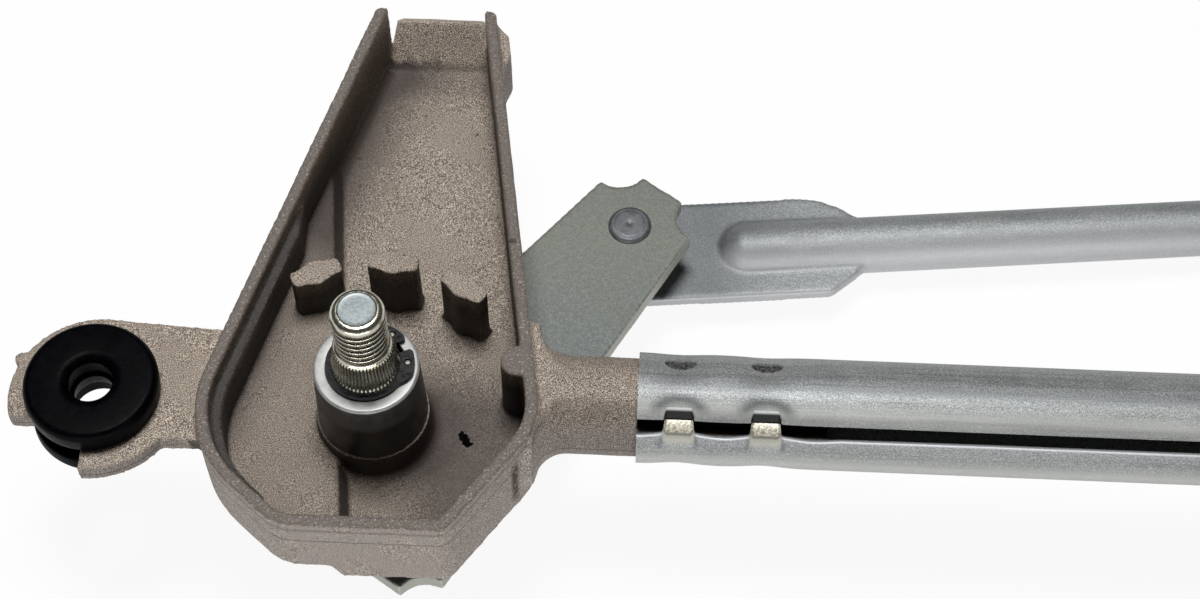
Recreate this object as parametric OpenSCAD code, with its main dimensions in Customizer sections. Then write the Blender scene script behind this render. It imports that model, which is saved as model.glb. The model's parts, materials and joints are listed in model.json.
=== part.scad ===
// Windscreen wiper linkage. Two die-cast spindle housings are staked into the ends of a
// bent, slotted tube. A plate lever hangs under each spindle, a tie link joins the two
// levers, and a drive link reaches from the right lever to the place of the motor crank.
// Origin: left spindle axis, level with the top of its bearing sleeve.
// +X runs along the left leg of the tube, +Z up the spindle, sizes in millimetres.

/* [Linkage] */
// Distance between the two spindle axes
spindle_spacing = 500; // [470:1:530]
// Angle of both links and of the line between the spindles, from the left leg of the tube
link_angle = 6; // [4:0.5:8]
// Radius from a spindle to its tie link ball
crank_r = 73.3; // [68:0.1:80]
// Direction of the levers at rest, from the left leg of the tube
crank_angle = 50.5; // [46:0.5:56]
// Radius from the right spindle to the drive link ball
drive_r = 70; // [64:0.5:76]

/* [Clearances] */
// Radial clearance of a running fit
run_gap = 0.05; // [0.02:0.01:0.1]
// Clearance between pieces that are pressed, staked or riveted together
seat_gap = 0.02; // [0.01:0.01:0.05]
// End play of a spindle, at the clip and at the thrust washer
end_play = 0.15; // [0.05:0.05:0.4]

/* [Spindle] */
// Diameter of the spindle in its bushes
shaft_d = 12.8; // [11:0.1:14]
// Height of the spindle tip above the bearing sleeve
tip_h = 20; // [18:0.5:24]
// Diameter of the arm nut thread
thread_d = 10; // [8:0.5:11]
// Length of the threaded end
thread_l = 11.5; // [9:0.5:13]
// Chamfer of the spindle tip
tip_chamfer = 1; // [0.5:0.1:1.5]
// Step from the thread out to the small end of the arm taper
taper_step = 0.5; // [0.2:0.1:1]
// Thickness of the retaining clip
clip_t = 1; // [0.8:0.1:1.4]
// Width of the retaining clip's band outside the spindle
clip_band = 1.35; // [1:0.05:1.8]
// Shift of the clip's outer edge towards its opening
clip_shift = 0.45; // [0:0.05:0.6]
// Depth of the clip groove in the spindle
groove_depth = 0.3; // [0.2:0.05:0.5]
// Radius of the clip's two lugs
lug_r = 2; // [1.6:0.1:2.4]
// Radius of the plier holes in the lugs
lug_hole_r = 0.75; // [0.5:0.05:0.9]
// Half angle between the lugs
lug_angle = 25; // [20:1:28]
// Direction in which the clip opens
clip_turn = 33; // [0:1:360]
// Diameter of the riveted foot under the lever
foot_d = 15; // [14:0.5:18]
// Height of the riveted foot
foot_h = 1.8; // [1.2:0.1:2.4]
// Diameter of the spigot riveted through the lever
shaft_spigot_d = 10; // [8:0.5:10.5]

/* [Bearing] */
// Wall of a bearing bush
bush_wall = 1; // [0.8:0.1:1.5]
// Length of a bearing bush
bush_l = 11; // [8:0.5:13]
// Depth of the seal space above the upper bush
seal_space = 3; // [2.5:0.5:5]
// Wall of the bearing sleeve at its top
sleeve_wall = 2.35; // [2:0.05:3]
// Increase of the sleeve's radius down to its shoulder
sleeve_flare = 0.6; // [0:0.1:1]
// Length of the sleeve that stands above its shoulder
sleeve_h = 16.4; // [14:0.2:16.4]
// Wall of the sleeve below its shoulder
sleeve_seat_wall = 1.5; // [1.2:0.1:2]
// Chamfer of the sleeve's top edge
sleeve_chamfer = 0.5; // [0.2:0.1:1]
// Thickness of the thrust washer
washer_t = 0.8; // [0.6:0.1:1.5]
// Diameter of the thrust washer
washer_d = 21; // [18:0.5:24]

/* [Housing tray] */
// Distance from the spindle to the flat front face
front_cut = 29.4; // [28:0.1:31]
// Reach of the front face on the arm side
front_left = 14.7; // [13:0.1:16]
// Reach of the front face on the tube side
front_right = 16.2; // [15:0.1:18]
// Reach of the side corner on the arm side
side_left = 35.1; // [34:0.1:37]
// Distance of that corner in front of the spindle
side_left_y = 11.8; // [9:0.1:14]
// Reach of the side corner on the tube side
side_right = 32.4; // [31.6:0.1:34]
// Distance of that corner in front of the spindle
side_right_y = 6.8; // [5:0.1:9]
// Distance from the spindle to the back tips of the side walls
tray_back = 89; // [84:1:96]
// Reach of the back tip on the arm side
back_left = 7; // [6:0.1:9]
// Reach of the back tip on the tube side
back_right = 17.6; // [16:0.1:19]
// Rounding of the side corner on the arm side
side_left_round = 23; // [18:0.5:24]
// Rounding of the front corner on the arm side
front_left_round = 9; // [5:0.5:11]
// Rounding of the front corner on the tube side
front_right_round = 3; // [2.8:0.1:5]
// Rounding of the side corner on the tube side
side_right_round = 15; // [10:0.5:18]
// Rounding of the back tips
tip_round = 1.1; // [0.5:0.1:1.2]
// Thickness of the tray wall
wall_t = 2.4; // [2.2:0.1:2.8]
// Depth of the rim below the top of the bearing sleeve
rim_drop = 7; // [6:0.5:9]
// Depth of the tray from rim to floor
tray_depth = 16.5; // [16:0.5:19]
// Thickness of the tray floor
floor_t = 4.5; // [3.5:0.5:5.5]
// Height of the raised half of the floor
ledge_h = 4; // [2:0.5:5]
// Distance of the floor step from the spindle axis
ledge_x = 7.3; // [6:0.1:9]
// Width of the sloping riser of that step
ledge_slope = 2; // [1:0.5:3]
// Turn of the floor step from the Y axis
ledge_turn = 6.7; // [4:0.1:9]
// Width of the lip inside the arm side wall
lip_w = 2.1; // [1.5:0.1:3]
// Depth of that lip below the rim
lip_drop = 3.5; // [2:0.5:6]
// Distance of the lip's run-out from the spindle axis, on the arm side
lip_end = 17.4; // [14:0.1:20]
// Distance from the spindle to the foot of the ramp at the back of the floor
ramp_y = 85; // [80:0.5:88]
// Height of the ramp
ramp_h = 7.5; // [5:0.5:9]
// Slope of the ramp
ramp_slope = 44; // [35:1:55]
// Thickness of the ramp
ramp_t = 4; // [3:0.5:5]
// Distance from the spindle to the front end of the wall fillet
fillet_y = 48; // [44:1:60]
// Fillet between the back of the arm side wall and the floor
base_fillet = 4; // [2:0.5:5]
// Wall of the cast boss around the sleeve
boss_wall = 1.9; // [1.5:0.1:3]
// Fillet between the boss and the tray floor
boss_fillet = 2.5; // [1:0.5:4]
// Length of the boss below the tray
lower_boss_l = 7; // [5:0.5:9]
// Extra wall of the boss below the tray
lower_boss_wall = 3; // [2:0.5:5]
// Radius from the spindle to the three posts
post_ring_r = 28.4; // [28:0.1:29]
// Direction of the middle post
post_turn = 86.6; // [80:0.1:92]
// Angle from post to post
post_pitch = 30.3; // [26:0.1:34]
// Depth of the post tops below the top of the sleeve
post_drop = 8.7; // [8:0.1:13]
// Diameter of a post
post_d = 5.6; // [4.5:0.1:6.5]
// Length of the bar across a post
post_bar_l = 10; // [8:0.5:12]
// Thickness of the bar across a post
post_bar_t = 3.6; // [2.8:0.1:4.2]
// Diameter of the round lug on the tube side wall
wall_lug_d = 6.4; // [5:0.1:7]
// Distance of that lug behind the spindle
wall_lug_y = 6.6; // [5:0.1:9]
// Length of the stop block outside the back of the tube side wall
stop_l = 13; // [10:0.5:18]
// Reach of the stop block from the wall
stop_w = 2.2; // [1.5:0.1:4]
// Height of the stop block
stop_h = 12; // [10:0.5:14]
// Depth of the stop block's top below the rim
stop_drop = 3; // [1:0.5:4]

/* [Mount arm] */
// Distance of the fork's centre from the spindle, away from the tube
fork_x = 52; // [48:0.5:58]
// Distance of the fork's centre from the spindle, towards the front
fork_y = 1.5; // [0:0.5:4]
// Diameter of the fork
fork_d = 32.6; // [30:0.2:36]
// Thickness of the arm and the fork
arm_t = 4; // [3:0.5:5]
// Depth of the arm's top face below the top of the sleeve
arm_drop = 11.5; // [11:0.5:14]
// Distance of the arm's back edge from the spindle, at the tray
arm_back = 13.2; // [11:0.1:14]
// Distance of the arm's front edge from the spindle
arm_front = 10.7; // [9:0.1:13]
// Distance of the fork's front tip from the fork's centre, away from the tube
front_tip = 0.8; // [0:0.1:3]
// Distance of the fork's side tip from the fork's centre, towards the front
side_tip = 5.8; // [4:0.1:7]
// Diameter of the small casting nub on the fork
nub_d = 3; // [2:0.5:4]

/* [Grommets] */
// Diameter of a grommet
grommet_d = 25.4; // [23:0.2:28]
// Thickness of each grommet flange
flange_t = 4.5; // [3.5:0.5:6]
// Diameter of the grommet's core in its fork or hole
grommet_core_d = 18; // [16:0.5:19]
// Diameter of the bolt hole
bolt_hole_d = 8; // [6.5:0.5:9]
// Diameter of the recess at each end of the bolt hole
recess_d = 12.4; // [11:0.2:15]
// Depth of that recess
recess_h = 3; // [2:0.5:4]
// Rounding of the grommet's edges
grommet_round = 1; // [0.5:0.1:1.5]

/* [Frame tube] */
// Outside diameter of the tube
tube_d = 21; // [20:0.5:22]
// Wall of the tube
tube_wall = 1.15; // [1:0.05:1.5]
// Distance of the tube axis behind the spindle axis
tube_y = 3; // [0:0.5:5]
// Depth of the tube axis below the top of the sleeve
tube_drop = 17; // [16:0.5:18]
// Distance from the spindle axis to the end of the tube
tube_start = 50; // [46:0.5:56]
// Distance of the bend from the left spindle
bend_x = 300; // [280:1:320]
// Radius of the bend at the tube axis
bend_r = 80; // [60:5:120]
// Swelling of the tube wall in the bend
bend_swell = 0.05; // [0.02:0.01:0.1]
// Width of the open seam
seam_w = 3.3; // [2:0.1:4]
// Height of the open seam round the tube, from the front
seam_turn = 41.5; // [30:0.5:50]
// Distance from the end of the tube to the first row of stakes
stake_start = 7.8; // [7:0.1:10]
// Distance between the two rows of stakes
stake_pitch = 16.2; // [14:0.1:18]
// Depth of a stake
stake_depth = 2; // [1.5:0.1:2.5]
// Radius of the staking punch
stake_r = 4; // [3:0.5:5]
// Length of a stake along the tube
stake_l = 5.6; // [4:0.1:7]
// Number of stakes in a row
stake_count = 4; // [2:1:4]
// Length of the housing spigot past the last row of stakes
spigot_tail = 12; // [8:1:20]
// Fillet between the spigot and the tray wall
spigot_fillet = 6; // [3:0.5:8]

/* [Motor bracket] */
// Distance of the motor axis from the left spindle
bracket_x = 230; // [220:1:240]
// Distance of the motor axis in front of the tube axis
motor_offset = 46; // [42:0.5:52]
// Thickness of the bracket sheet
sheet_t = 3; // [2:0.5:4]
// Length of the saddle under the tube
saddle_l = 64; // [56:1:72]
// Diameter of the hole for the motor's bearing neck
neck_hole_d = 30; // [24:1:36]
// Diameter of the circle of motor screws
screw_circle_d = 60; // [54:1:66]
// Number of motor screws
screw_count = 3; // [3:1:4]
// Diameter of the motor screw holes
screw_hole_d = 6.6; // [5.5:0.1:7]
// Rim of sheet around the motor screw holes
screw_rim = 8; // [6:0.5:10]
// Distance from the motor axis to the bracket's grommet
ear_offset = 60; // [58:1:70]

/* [Levers] */
// Thickness of the lever plates
lever_t = 4; // [3:0.5:5]
// Half width of a lever at its ball
lever_half_w = 12.2; // [11.5:0.1:14]
// Taper of each lever edge from its plate axis
lever_taper = 5; // [3:0.5:6]
// Turn of the plate axis from the line of spindle and ball
lever_turn = 5; // [2:0.5:6]
// Reach of the plate past the ball
lever_tip = 11.5; // [11:0.5:14]
// Reach of the plate behind the spindle
lever_tail = 19.5; // [16:0.5:24]
// Radius of the corner notches
notch_r = 6; // [4:0.5:6.5]
// Diameter of the ball studs' balls
ball_d = 11; // [10:0.5:12]
// Distance from the underside of a lever to the ball centres
ball_drop = 8; // [7.5:0.1:9]
// Diameter of a ball stud's shank
stud_d = 7; // [6:0.5:8]
// Diameter of a ball stud's collar
collar_d = 12; // [10:0.5:14]
// Thickness of the collar
collar_t = 1.5; // [1:0.1:2]
// Diameter of the rivet head on top of the lever
rivet_d = 8.6; // [8.2:0.2:11]
// Height of the rivet head
rivet_h = 1.6; // [1:0.1:2.4]
// Diameter of a ball stud's neck
neck_d = 6; // [5:0.5:6.5]

/* [Links] */
// Diameter of the link tube
rod_d = 12; // [10:0.5:13]
// Width of the flattened link ends
paddle_w = 24; // [22:0.5:26]
// Thickness of the flattened link ends
paddle_t = 3; // [2.5:0.5:4]
// Distance from the ball to the end of the flattened part
paddle_l = 50; // [44:1:56]
// Distance from the ball to the start of the flanges' run-out
flange_l = 42; // [38:1:44]
// Distance from the ball to the start of the round ridge
ridge_start = 19; // [17:0.5:24]
// Wall of a ball socket around its ball, at the link
socket_wall = 2; // [1.5:0.1:2.5]
// Flange of a ball socket on each face of the link
socket_flange = 1.8; // [1.2:0.1:2.4]
// Height of a ball socket above the link
socket_top = 2; // [1.5:0.1:2.4]
// Depth of a ball socket below the link
socket_depth = 6; // [5.5:0.1:8]

/* [Hidden] */
$fn = 64;
// Reach of cutting bodies past the faces that they cut
past = 1;
// Half size of the cutting planes
far = 200;
// Depth to which ribs and fillets are sunk into the walls that carry them
wall_sink = 0.3;
// Length by which the tube legs run into the bend
bend_lap = 0.5;

// Radii of the spindle and its bearing
shaft_r = shaft_d / 2;
thread_r = thread_d / 2;
groove_r = shaft_r - groove_depth;
bush_in_r = shaft_r + run_gap;
bush_out_r = bush_in_r + bush_wall;
sleeve_in_r = bush_out_r + seat_gap;
sleeve_top_r = sleeve_in_r + sleeve_wall;
sleeve_seat_r = sleeve_in_r + sleeve_seat_wall;
boss_bore_r = sleeve_seat_r + seat_gap;
boss_r = sleeve_top_r + sleeve_flare + (boss_wall - sleeve_seat_wall);
lower_boss_r = boss_bore_r + lower_boss_wall;

// Heights, counted up from the top of the bearing sleeve
rim_z = -rim_drop;
floor_z = rim_z - tray_depth;
base_z = floor_z - floor_t;
boss_end_z = base_z - lower_boss_l;
washer_z = boss_end_z - end_play - washer_t;
lever_top_z = washer_z - end_play;
lever_z = lever_top_z - lever_t;
ball_z = lever_z - ball_drop;
clip_z = end_play;
taper_z = clip_z + clip_t + end_play;
arm_z = -arm_drop - arm_t;

// Radii of the tube and its joint
tube_r = tube_d / 2;
tube_in_r = tube_r - tube_wall;
spigot_r = tube_in_r - seat_gap;
stake_axis_r = tube_r - stake_depth + stake_r;
spigot_groove_r = stake_axis_r - stake_r - tube_wall - 2 * run_gap;
spigot_groove_w = stake_l + 2 * end_play;
key_w = seam_w + 2 * run_gap;
key_floor_r = spigot_groove_r / 2;
spigot_l = stake_start + stake_pitch + spigot_tail;

// Plan of the linkage: spindles, balls, bend and tube legs
spindle_2 = spindle_spacing * [cos(link_angle), sin(link_angle)];
ball_1 = crank_r * [cos(crank_angle), sin(crank_angle)];
ball_2 = spindle_2 + ball_1;
drive_angle = crank_angle + 180;
drive_ball = spindle_2 + drive_r * [cos(drive_angle), sin(drive_angle)];
bend_to_spindle = spindle_2 - [bend_x, tube_y];
bend_angle = atan2(bend_to_spindle[1], bend_to_spindle[0]) + asin(tube_y / norm(bend_to_spindle));
bend_reach = bend_r * tan(bend_angle / 2);
left_leg = bend_x - bend_reach - tube_start;
right_leg = sqrt(pow(norm(bend_to_spindle), 2) - pow(tube_y, 2)) - bend_reach - tube_start;

// Motor place and the link that reaches it at mid swing
motor_y = tube_y - motor_offset;
drive_mid = spindle_2 + drive_r * [sin(link_angle), -cos(link_angle)];
drive_l = norm(drive_mid - [bracket_x, motor_y]);
sheet_z = -tube_drop - tube_r - seat_gap - sheet_t;
ear_y = motor_y - ear_offset;

// Ball sockets
ball_r = ball_d / 2;
cup_r = ball_r + run_gap;
socket_r = cup_r + socket_wall;
socket_flange_r = socket_r + socket_flange;
socket_mouth_r = sqrt(pow(cup_r, 2) - pow(paddle_t / 2 + socket_top, 2));

fork_r = fork_d / 2;
core_r = grommet_core_d / 2;
fork_bore_r = core_r + seat_gap;
fork_at = [-fork_x, -fork_y];

// Corners of the tray at its rim
side_left_at = [-side_left, -side_left_y];
side_right_at = [side_right, -side_right_y];
back_left_at = [-back_left, tray_back];
back_right_at = [back_right, tray_back];
// Direction of the arm side wall and lean of the tube side wall from the Y axis
left_wall_turn = atan2(tray_back + side_left_y, side_left - back_left);
side_lean = atan2(side_right - back_right, tray_back + side_right_y);
// Places where the tube, the arm and the lug meet the side walls
tube_wall_x = line_x(side_right_at, back_right_at, tube_y);
arm_wall_x = line_x(side_left_at, back_left_at, -fork_y);
arm_back_x = line_x(side_left_at, back_left_at, arm_back);
lug_wall_x = line_x(side_right_at, back_right_at, wall_lug_y);
// Run of the ramp at the back of the floor
ramp_l = ramp_h / tan(ramp_slope);

function unit(v) = v / norm(v);
function left_normal(a, b) = let (d = unit(b - a)) [-d[1], d[0]];
// Place of a line through two points, at a distance along Y
function line_x(from, to, y) = from[0] + (to[0] - from[0]) * (y - from[1]) / (to[1] - from[1]);
// Corners of a counter-clockwise outline with every edge moved inwards by one distance
function inset_corners(p, d) = [
    for (i = [0 : len(p) - 1])
        let (before = left_normal(p[(i + len(p) - 1) % len(p)], p[i]))
        let (after = left_normal(p[i], p[(i + 1) % len(p)]))
        p[i] + d * (before + after) / (1 + before * after)
];
// Unit vectors from a corner to the corners before and after it
function corner_arms(p, i) = [unit(p[(i + len(p) - 1) % len(p)] - p[i]), unit(p[(i + 1) % len(p)] - p[i])];
function corner_half(arms) = acos(arms[0] * arms[1]) / 2;
// Centre of the arc that rounds a corner, and the points where it meets the two edges
function arc_centre(p, i, r) =
    let (arms = corner_arms(p, i)) p[i] + unit(arms[0] + arms[1]) * r / sin(corner_half(arms));
function arc_ends(p, i, r) =
    let (arms = corner_arms(p, i)) [for (arm = arms) p[i] + arm * r / tan(corner_half(arms))];
// Corners of the tray, counter-clockwise from the arm side, with its back end lengthened
function tray_corners(extra) = [
    side_left_at,
    [-front_left, -front_cut],
    [front_right, -front_cut],
    side_right_at,
    back_right_at + extra * unit(back_right_at - side_right_at),
    back_left_at + extra * unit(back_left_at - side_left_at),
];

// Places of the right side
module at_right_housing() {
    translate(spindle_2) rotate(bend_angle) mirror([1, 0, 0]) children();
}

module at_right_spindle() {
    translate(spindle_2) children();
}

// Turns a drawing in the XY plane into one across the tube and carries it along X
module along_x(length) {
    rotate([90, 0, 90]) linear_extrude(length) children();
}

// Housing
module rounded_outline(corners, rounds) {
    polygon([for (i = [0 : len(corners) - 1]) each arc_ends(corners, i, rounds[i])]);
    for (i = [0 : len(corners) - 1]) translate(arc_centre(corners, i, rounds[i])) circle(rounds[i], $fn = 96);
}

module tray_plan(inset = 0, extra = 0) {
    rounds = [side_left_round, front_left_round, front_right_round, side_right_round];
    rounded_outline(
        inset_corners(tray_corners(extra), inset),
        [for (r = rounds) r - inset, tip_round, tip_round]
    );
}

module at_floor_step() {
    translate([-ledge_x, 0, 0]) rotate([90, 0, ledge_turn]) translate([0, 0, -far])
        linear_extrude(2 * far) children();
}

// Section across the floor step, at the top of the floor or at the underside of the tray
module ledge_section(foot_z) {
    polygon([
        [-far, foot_z - past],
        [ledge_slope, foot_z - past],
        [ledge_slope, foot_z],
        [0, foot_z + ledge_h],
        [-far, foot_z + ledge_h],
    ]);
}

// Plan of the hollow below the lip, which runs out towards the back
module tray_lower_plan() {
    intersection() {
        tray_plan(wall_t, ramp_t);
        union() {
            translate([lip_w, 0]) tray_plan(wall_t, ramp_t);
            translate([-lip_end, -far]) square(2 * far);
        }
    }
}

// Hollow of the tray, open at its back
module tray_hollow() {
    translate([0, 0, rim_z - lip_drop]) linear_extrude(lip_drop + past) tray_plan(wall_t, ramp_t);
    difference() {
        translate([0, 0, floor_z]) linear_extrude(tray_depth) tray_lower_plan();
        at_floor_step() ledge_section(floor_z);
    }
}

// Back end of the floor, rising between the side walls
module back_ramp() {
    under = ramp_t * [sin(ramp_slope), -cos(ramp_slope)];
    foot = [ramp_y, floor_z];
    crest = foot + [ramp_l, ramp_h];
    intersection() {
        rotate([90, 0, 90]) translate([0, 0, -far]) linear_extrude(2 * far)
            polygon([foot, foot + under, crest + under, crest]);
        translate([0, 0, base_z]) linear_extrude(tray_depth + floor_t)
            tray_plan(wall_t - wall_sink, 2 * ramp_h);
    }
}

// Fillet along the foot of the arm side wall, behind the raised part of the floor
module wall_fillet() {
    start = (fillet_y + side_left_y) / sin(left_wall_turn);
    length = (ramp_y - fillet_y) / sin(left_wall_turn);
    translate(side_left_at) rotate(left_wall_turn)
        translate([start, -wall_t + wall_sink, floor_z - wall_sink]) along_x(length)
            difference() {
                translate([-base_fillet, 0]) square([base_fillet, base_fillet]);
                translate([-base_fillet, base_fillet]) circle(base_fillet);
            }
}

module arm_plan() {
    difference() {
        union() {
            translate(fork_at) circle(fork_r);
            polygon([
                fork_at + [0, fork_r],
                [fork_at[0], -arm_front],
                [arm_wall_x + wall_t, -arm_front],
                [arm_back_x + wall_t / 2, arm_back],
            ]);
            translate(fork_at) rotate(155) translate([fork_r, 0]) circle(d = nub_d);
        }
        translate(fork_at) circle(fork_bore_r);
        translate(fork_at - [front_tip + far, side_tip + far]) square(far);
    }
}

// Concave flare where the spigot grows out of the tray wall
module spigot_flare() {
    flare_x = tube_wall_x + spigot_fillet;
    intersection() {
        translate([0, tube_y, -tube_drop]) rotate([0, 90, 0]) difference() {
            translate([0, 0, tube_wall_x - 3 * wall_t])
                cylinder(r = spigot_r + spigot_fillet, h = spigot_fillet + 3 * wall_t);
            translate([0, 0, flare_x]) rotate_extrude()
                translate([spigot_r + spigot_fillet, 0]) circle(spigot_fillet);
        }
        translate([0, -far, base_z]) cube([far, 2 * far, tray_depth + floor_t - past]);
    }
}

// Spigot inside the tube, with a groove for each row of stakes and one under the open seam
module spigot() {
    from = tube_wall_x - wall_t + 2 * wall_sink;
    translate([from, tube_y, -tube_drop]) rotate([0, 90, 0]) difference() {
        cylinder(r = spigot_r, h = tube_start + spigot_l - from);
        for (row = [0, 1])
            translate([0, 0, tube_start + stake_start + row * stake_pitch - from])
                rotate_extrude() translate([spigot_groove_r, -spigot_groove_w / 2])
                    square([tube_r, spigot_groove_w]);
        rotate(270 - seam_turn) translate([key_floor_r, -key_w / 2, tube_start - from])
            cube([tube_r, key_w, spigot_l + past]);
    }
}

// Cast boss around the sleeve, with a fillet to the floor and a plain end below the tray
module boss() {
    translate([0, 0, floor_z - past]) cylinder(r = boss_r, h = -sleeve_h - seat_gap - floor_z + past);
    translate([0, 0, floor_z]) difference() {
        cylinder(r = boss_r + boss_fillet, h = boss_fillet);
        translate([0, 0, boss_fillet]) rotate_extrude()
            translate([boss_r + boss_fillet, 0]) circle(boss_fillet);
    }
    translate([0, 0, boss_end_z]) cylinder(r = lower_boss_r, h = lower_boss_l + past);
}

module posts() {
    for (step = [-1, 0, 1])
        rotate(post_turn + step * post_pitch) translate([post_ring_r, 0, floor_z - past]) {
            cylinder(d = post_d, h = -post_drop - floor_z + past);
            translate([-post_bar_t / 2, -post_bar_l / 2, 0])
                cube([post_bar_t, post_bar_l, -post_drop - floor_z + past]);
        }
}

// Low block outside the back of the tube side wall, with sloping ends
module stop_block() {
    slope = 2 * stop_w;
    translate([back_right, tray_back, rim_z - stop_drop - stop_h]) rotate(side_lean) linear_extrude(stop_h)
        polygon([
            [-wall_t, -past],
            [-wall_t, -stop_l - past],
            [0, -stop_l - past],
            [stop_w, -stop_l - past + slope],
            [stop_w, -slope],
            [0, -past],
        ]);
}

module wall_lug() {
    translate([lug_wall_x - wall_t - wall_lug_d / 8, wall_lug_y, floor_z - past])
        cylinder(d = wall_lug_d, h = tray_depth + past);
}

module housing() {
    difference() {
        union() {
            difference() {
                union() {
                    translate([0, 0, base_z]) linear_extrude(rim_z - base_z) tray_plan();
                    translate([0, 0, arm_z]) linear_extrude(arm_t) arm_plan();
                    spigot_flare();
                    stop_block();
                }
                tray_hollow();
                at_floor_step() translate([-ledge_slope, 0]) ledge_section(base_z);
            }
            back_ramp();
            wall_fillet();
            spigot();
            boss();
            posts();
            wall_lug();
        }
        translate([0, 0, boss_end_z - past]) cylinder(r = boss_bore_r, h = -boss_end_z);
    }
}

module grommet(sheet) {
    half_h = sheet / 2 + flange_t;
    rotate_extrude() difference() {
        union() {
            translate([0, -half_h + grommet_round])
                square([grommet_d / 2, 2 * half_h - 2 * grommet_round]);
            translate([0, -half_h]) square([grommet_d / 2 - grommet_round, 2 * half_h]);
            for (side = [-1, 1])
                translate([grommet_d / 2 - grommet_round, side * (half_h - grommet_round)])
                    circle(grommet_round);
        }
        translate([core_r, -sheet / 2 - seat_gap]) square([grommet_d, sheet + 2 * seat_gap]);
        translate([-far, -half_h - past]) square([far + bolt_hole_d / 2, 2 * half_h + 2 * past]);
        for (side = [0, 1]) mirror([0, side]) polygon([
            [0, half_h + past],
            [recess_d / 2, half_h + past],
            [recess_d / 2, half_h - grommet_round],
            [bolt_hole_d / 2, half_h - recess_h],
            [0, half_h - recess_h],
        ]);
    }
}

module fork_grommet() {
    translate([fork_at[0], fork_at[1], arm_z + arm_t / 2]) grommet(arm_t);
}

// Bearing
module bearing_sleeve() {
    rotate_extrude() polygon([
        [sleeve_in_r, 0],
        [sleeve_top_r - sleeve_chamfer, 0],
        [sleeve_top_r, -sleeve_chamfer],
        [sleeve_top_r + sleeve_flare, -sleeve_h],
        [sleeve_seat_r, -sleeve_h],
        [sleeve_seat_r, boss_end_z],
        [sleeve_in_r, boss_end_z],
    ]);
}

module bush(top_z) {
    translate([0, 0, top_z - bush_l]) difference() {
        cylinder(r = bush_out_r, h = bush_l);
        translate([0, 0, -past]) cylinder(r = bush_in_r, h = bush_l + 2 * past);
    }
}

module shaft_seal() {
    ring_r = (sleeve_in_r - shaft_r) / 2 - run_gap;
    translate([0, 0, -seal_space / 2]) rotate_extrude()
        translate([shaft_r + run_gap + ring_r, 0]) circle(ring_r, $fn = 24);
}

// Spindle
module pivot_shaft() {
    rotate_extrude() polygon([
        [0, lever_z - foot_h],
        [foot_d / 2 - foot_h / 2, lever_z - foot_h],
        [foot_d / 2, lever_z - foot_h / 2],
        [foot_d / 2, lever_z],
        [shaft_spigot_d / 2, lever_z],
        [shaft_spigot_d / 2, lever_top_z],
        [shaft_r, lever_top_z],
        [shaft_r, clip_z - seat_gap],
        [groove_r, clip_z - seat_gap],
        [groove_r, clip_z + clip_t + seat_gap],
        [shaft_r, clip_z + clip_t + seat_gap],
        [shaft_r, taper_z],
        [thread_r + taper_step, tip_h - thread_l],
        [thread_r, tip_h - thread_l],
        [thread_r, tip_h - tip_chamfer],
        [thread_r - tip_chamfer, tip_h],
        [0, tip_h],
    ]);
}

module circlip() {
    band_r = shaft_r + clip_band;
    translate([0, 0, clip_z]) rotate(clip_turn) linear_extrude(clip_t) difference() {
        union() {
            translate([clip_shift, 0]) circle(band_r);
            for (side = [-1, 1]) rotate(side * lug_angle) translate([band_r, 0]) circle(lug_r, $fn = 32);
        }
        circle(groove_r + seat_gap);
        translate([0, -lug_r / 2]) square([2 * band_r, lug_r]);
        for (side = [-1, 1]) rotate(side * lug_angle) translate([band_r, 0]) circle(lug_hole_r, $fn = 24);
    }
}

module thrust_washer() {
    translate([0, 0, washer_z]) difference() {
        cylinder(d = washer_d, h = washer_t);
        translate([0, 0, -past]) cylinder(r = bush_in_r, h = washer_t + 2 * past);
    }
}

// Levers: tapered plates with a round notch in place of each corner
module lever_plan(tail) {
    tip_w = lever_half_w - lever_tip * tan(lever_taper);
    tail_w = lever_half_w + tail * tan(lever_taper);
    corners = [[lever_tip, tip_w], [lever_tip, -tip_w], [-tail, -tail_w], [-tail, tail_w]];
    difference() {
        polygon(corners);
        for (corner = corners) translate(corner) circle(notch_r);
    }
}

module tie_arm_plan() {
    rotate(crank_angle) translate([crank_r, 0]) rotate(lever_turn)
        lever_plan(crank_r * cos(lever_turn) + lever_tail);
}

module drive_arm_plan() {
    rotate(drive_angle) translate([drive_r, 0]) lever_plan(drive_r);
}

module shaft_hole() {
    circle(shaft_spigot_d / 2 + seat_gap);
}

module stud_hole() {
    circle(stud_d / 2 + seat_gap);
}

module single_lever() {
    translate([0, 0, lever_z]) linear_extrude(lever_t) difference() {
        tie_arm_plan();
        shaft_hole();
        translate(ball_1) stud_hole();
    }
}

module double_lever() {
    translate([0, 0, lever_z]) linear_extrude(lever_t) difference() {
        union() {
            tie_arm_plan();
            drive_arm_plan();
        }
        shaft_hole();
        translate(ball_1) stud_hole();
        translate(drive_ball - spindle_2) stud_hole();
    }
}

// Ball stud: domed rivet head, shank through the lever, collar, neck and ball
module ball_stud() {
    dome_r = (pow(rivet_d / 2, 2) + pow(rivet_h, 2)) / (2 * rivet_h);
    translate([0, 0, lever_top_z]) intersection() {
        cylinder(d = rivet_d, h = rivet_h);
        translate([0, 0, rivet_h - dome_r]) sphere(dome_r, $fn = 96);
    }
    translate([0, 0, lever_z - past]) cylinder(d = stud_d, h = lever_t + past);
    translate([0, 0, lever_z - collar_t]) cylinder(d = collar_d, h = collar_t);
    translate([0, 0, ball_z]) cylinder(d = neck_d, h = ball_drop - collar_t + past / 2);
    translate([0, 0, ball_z]) sphere(ball_r);
}

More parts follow.
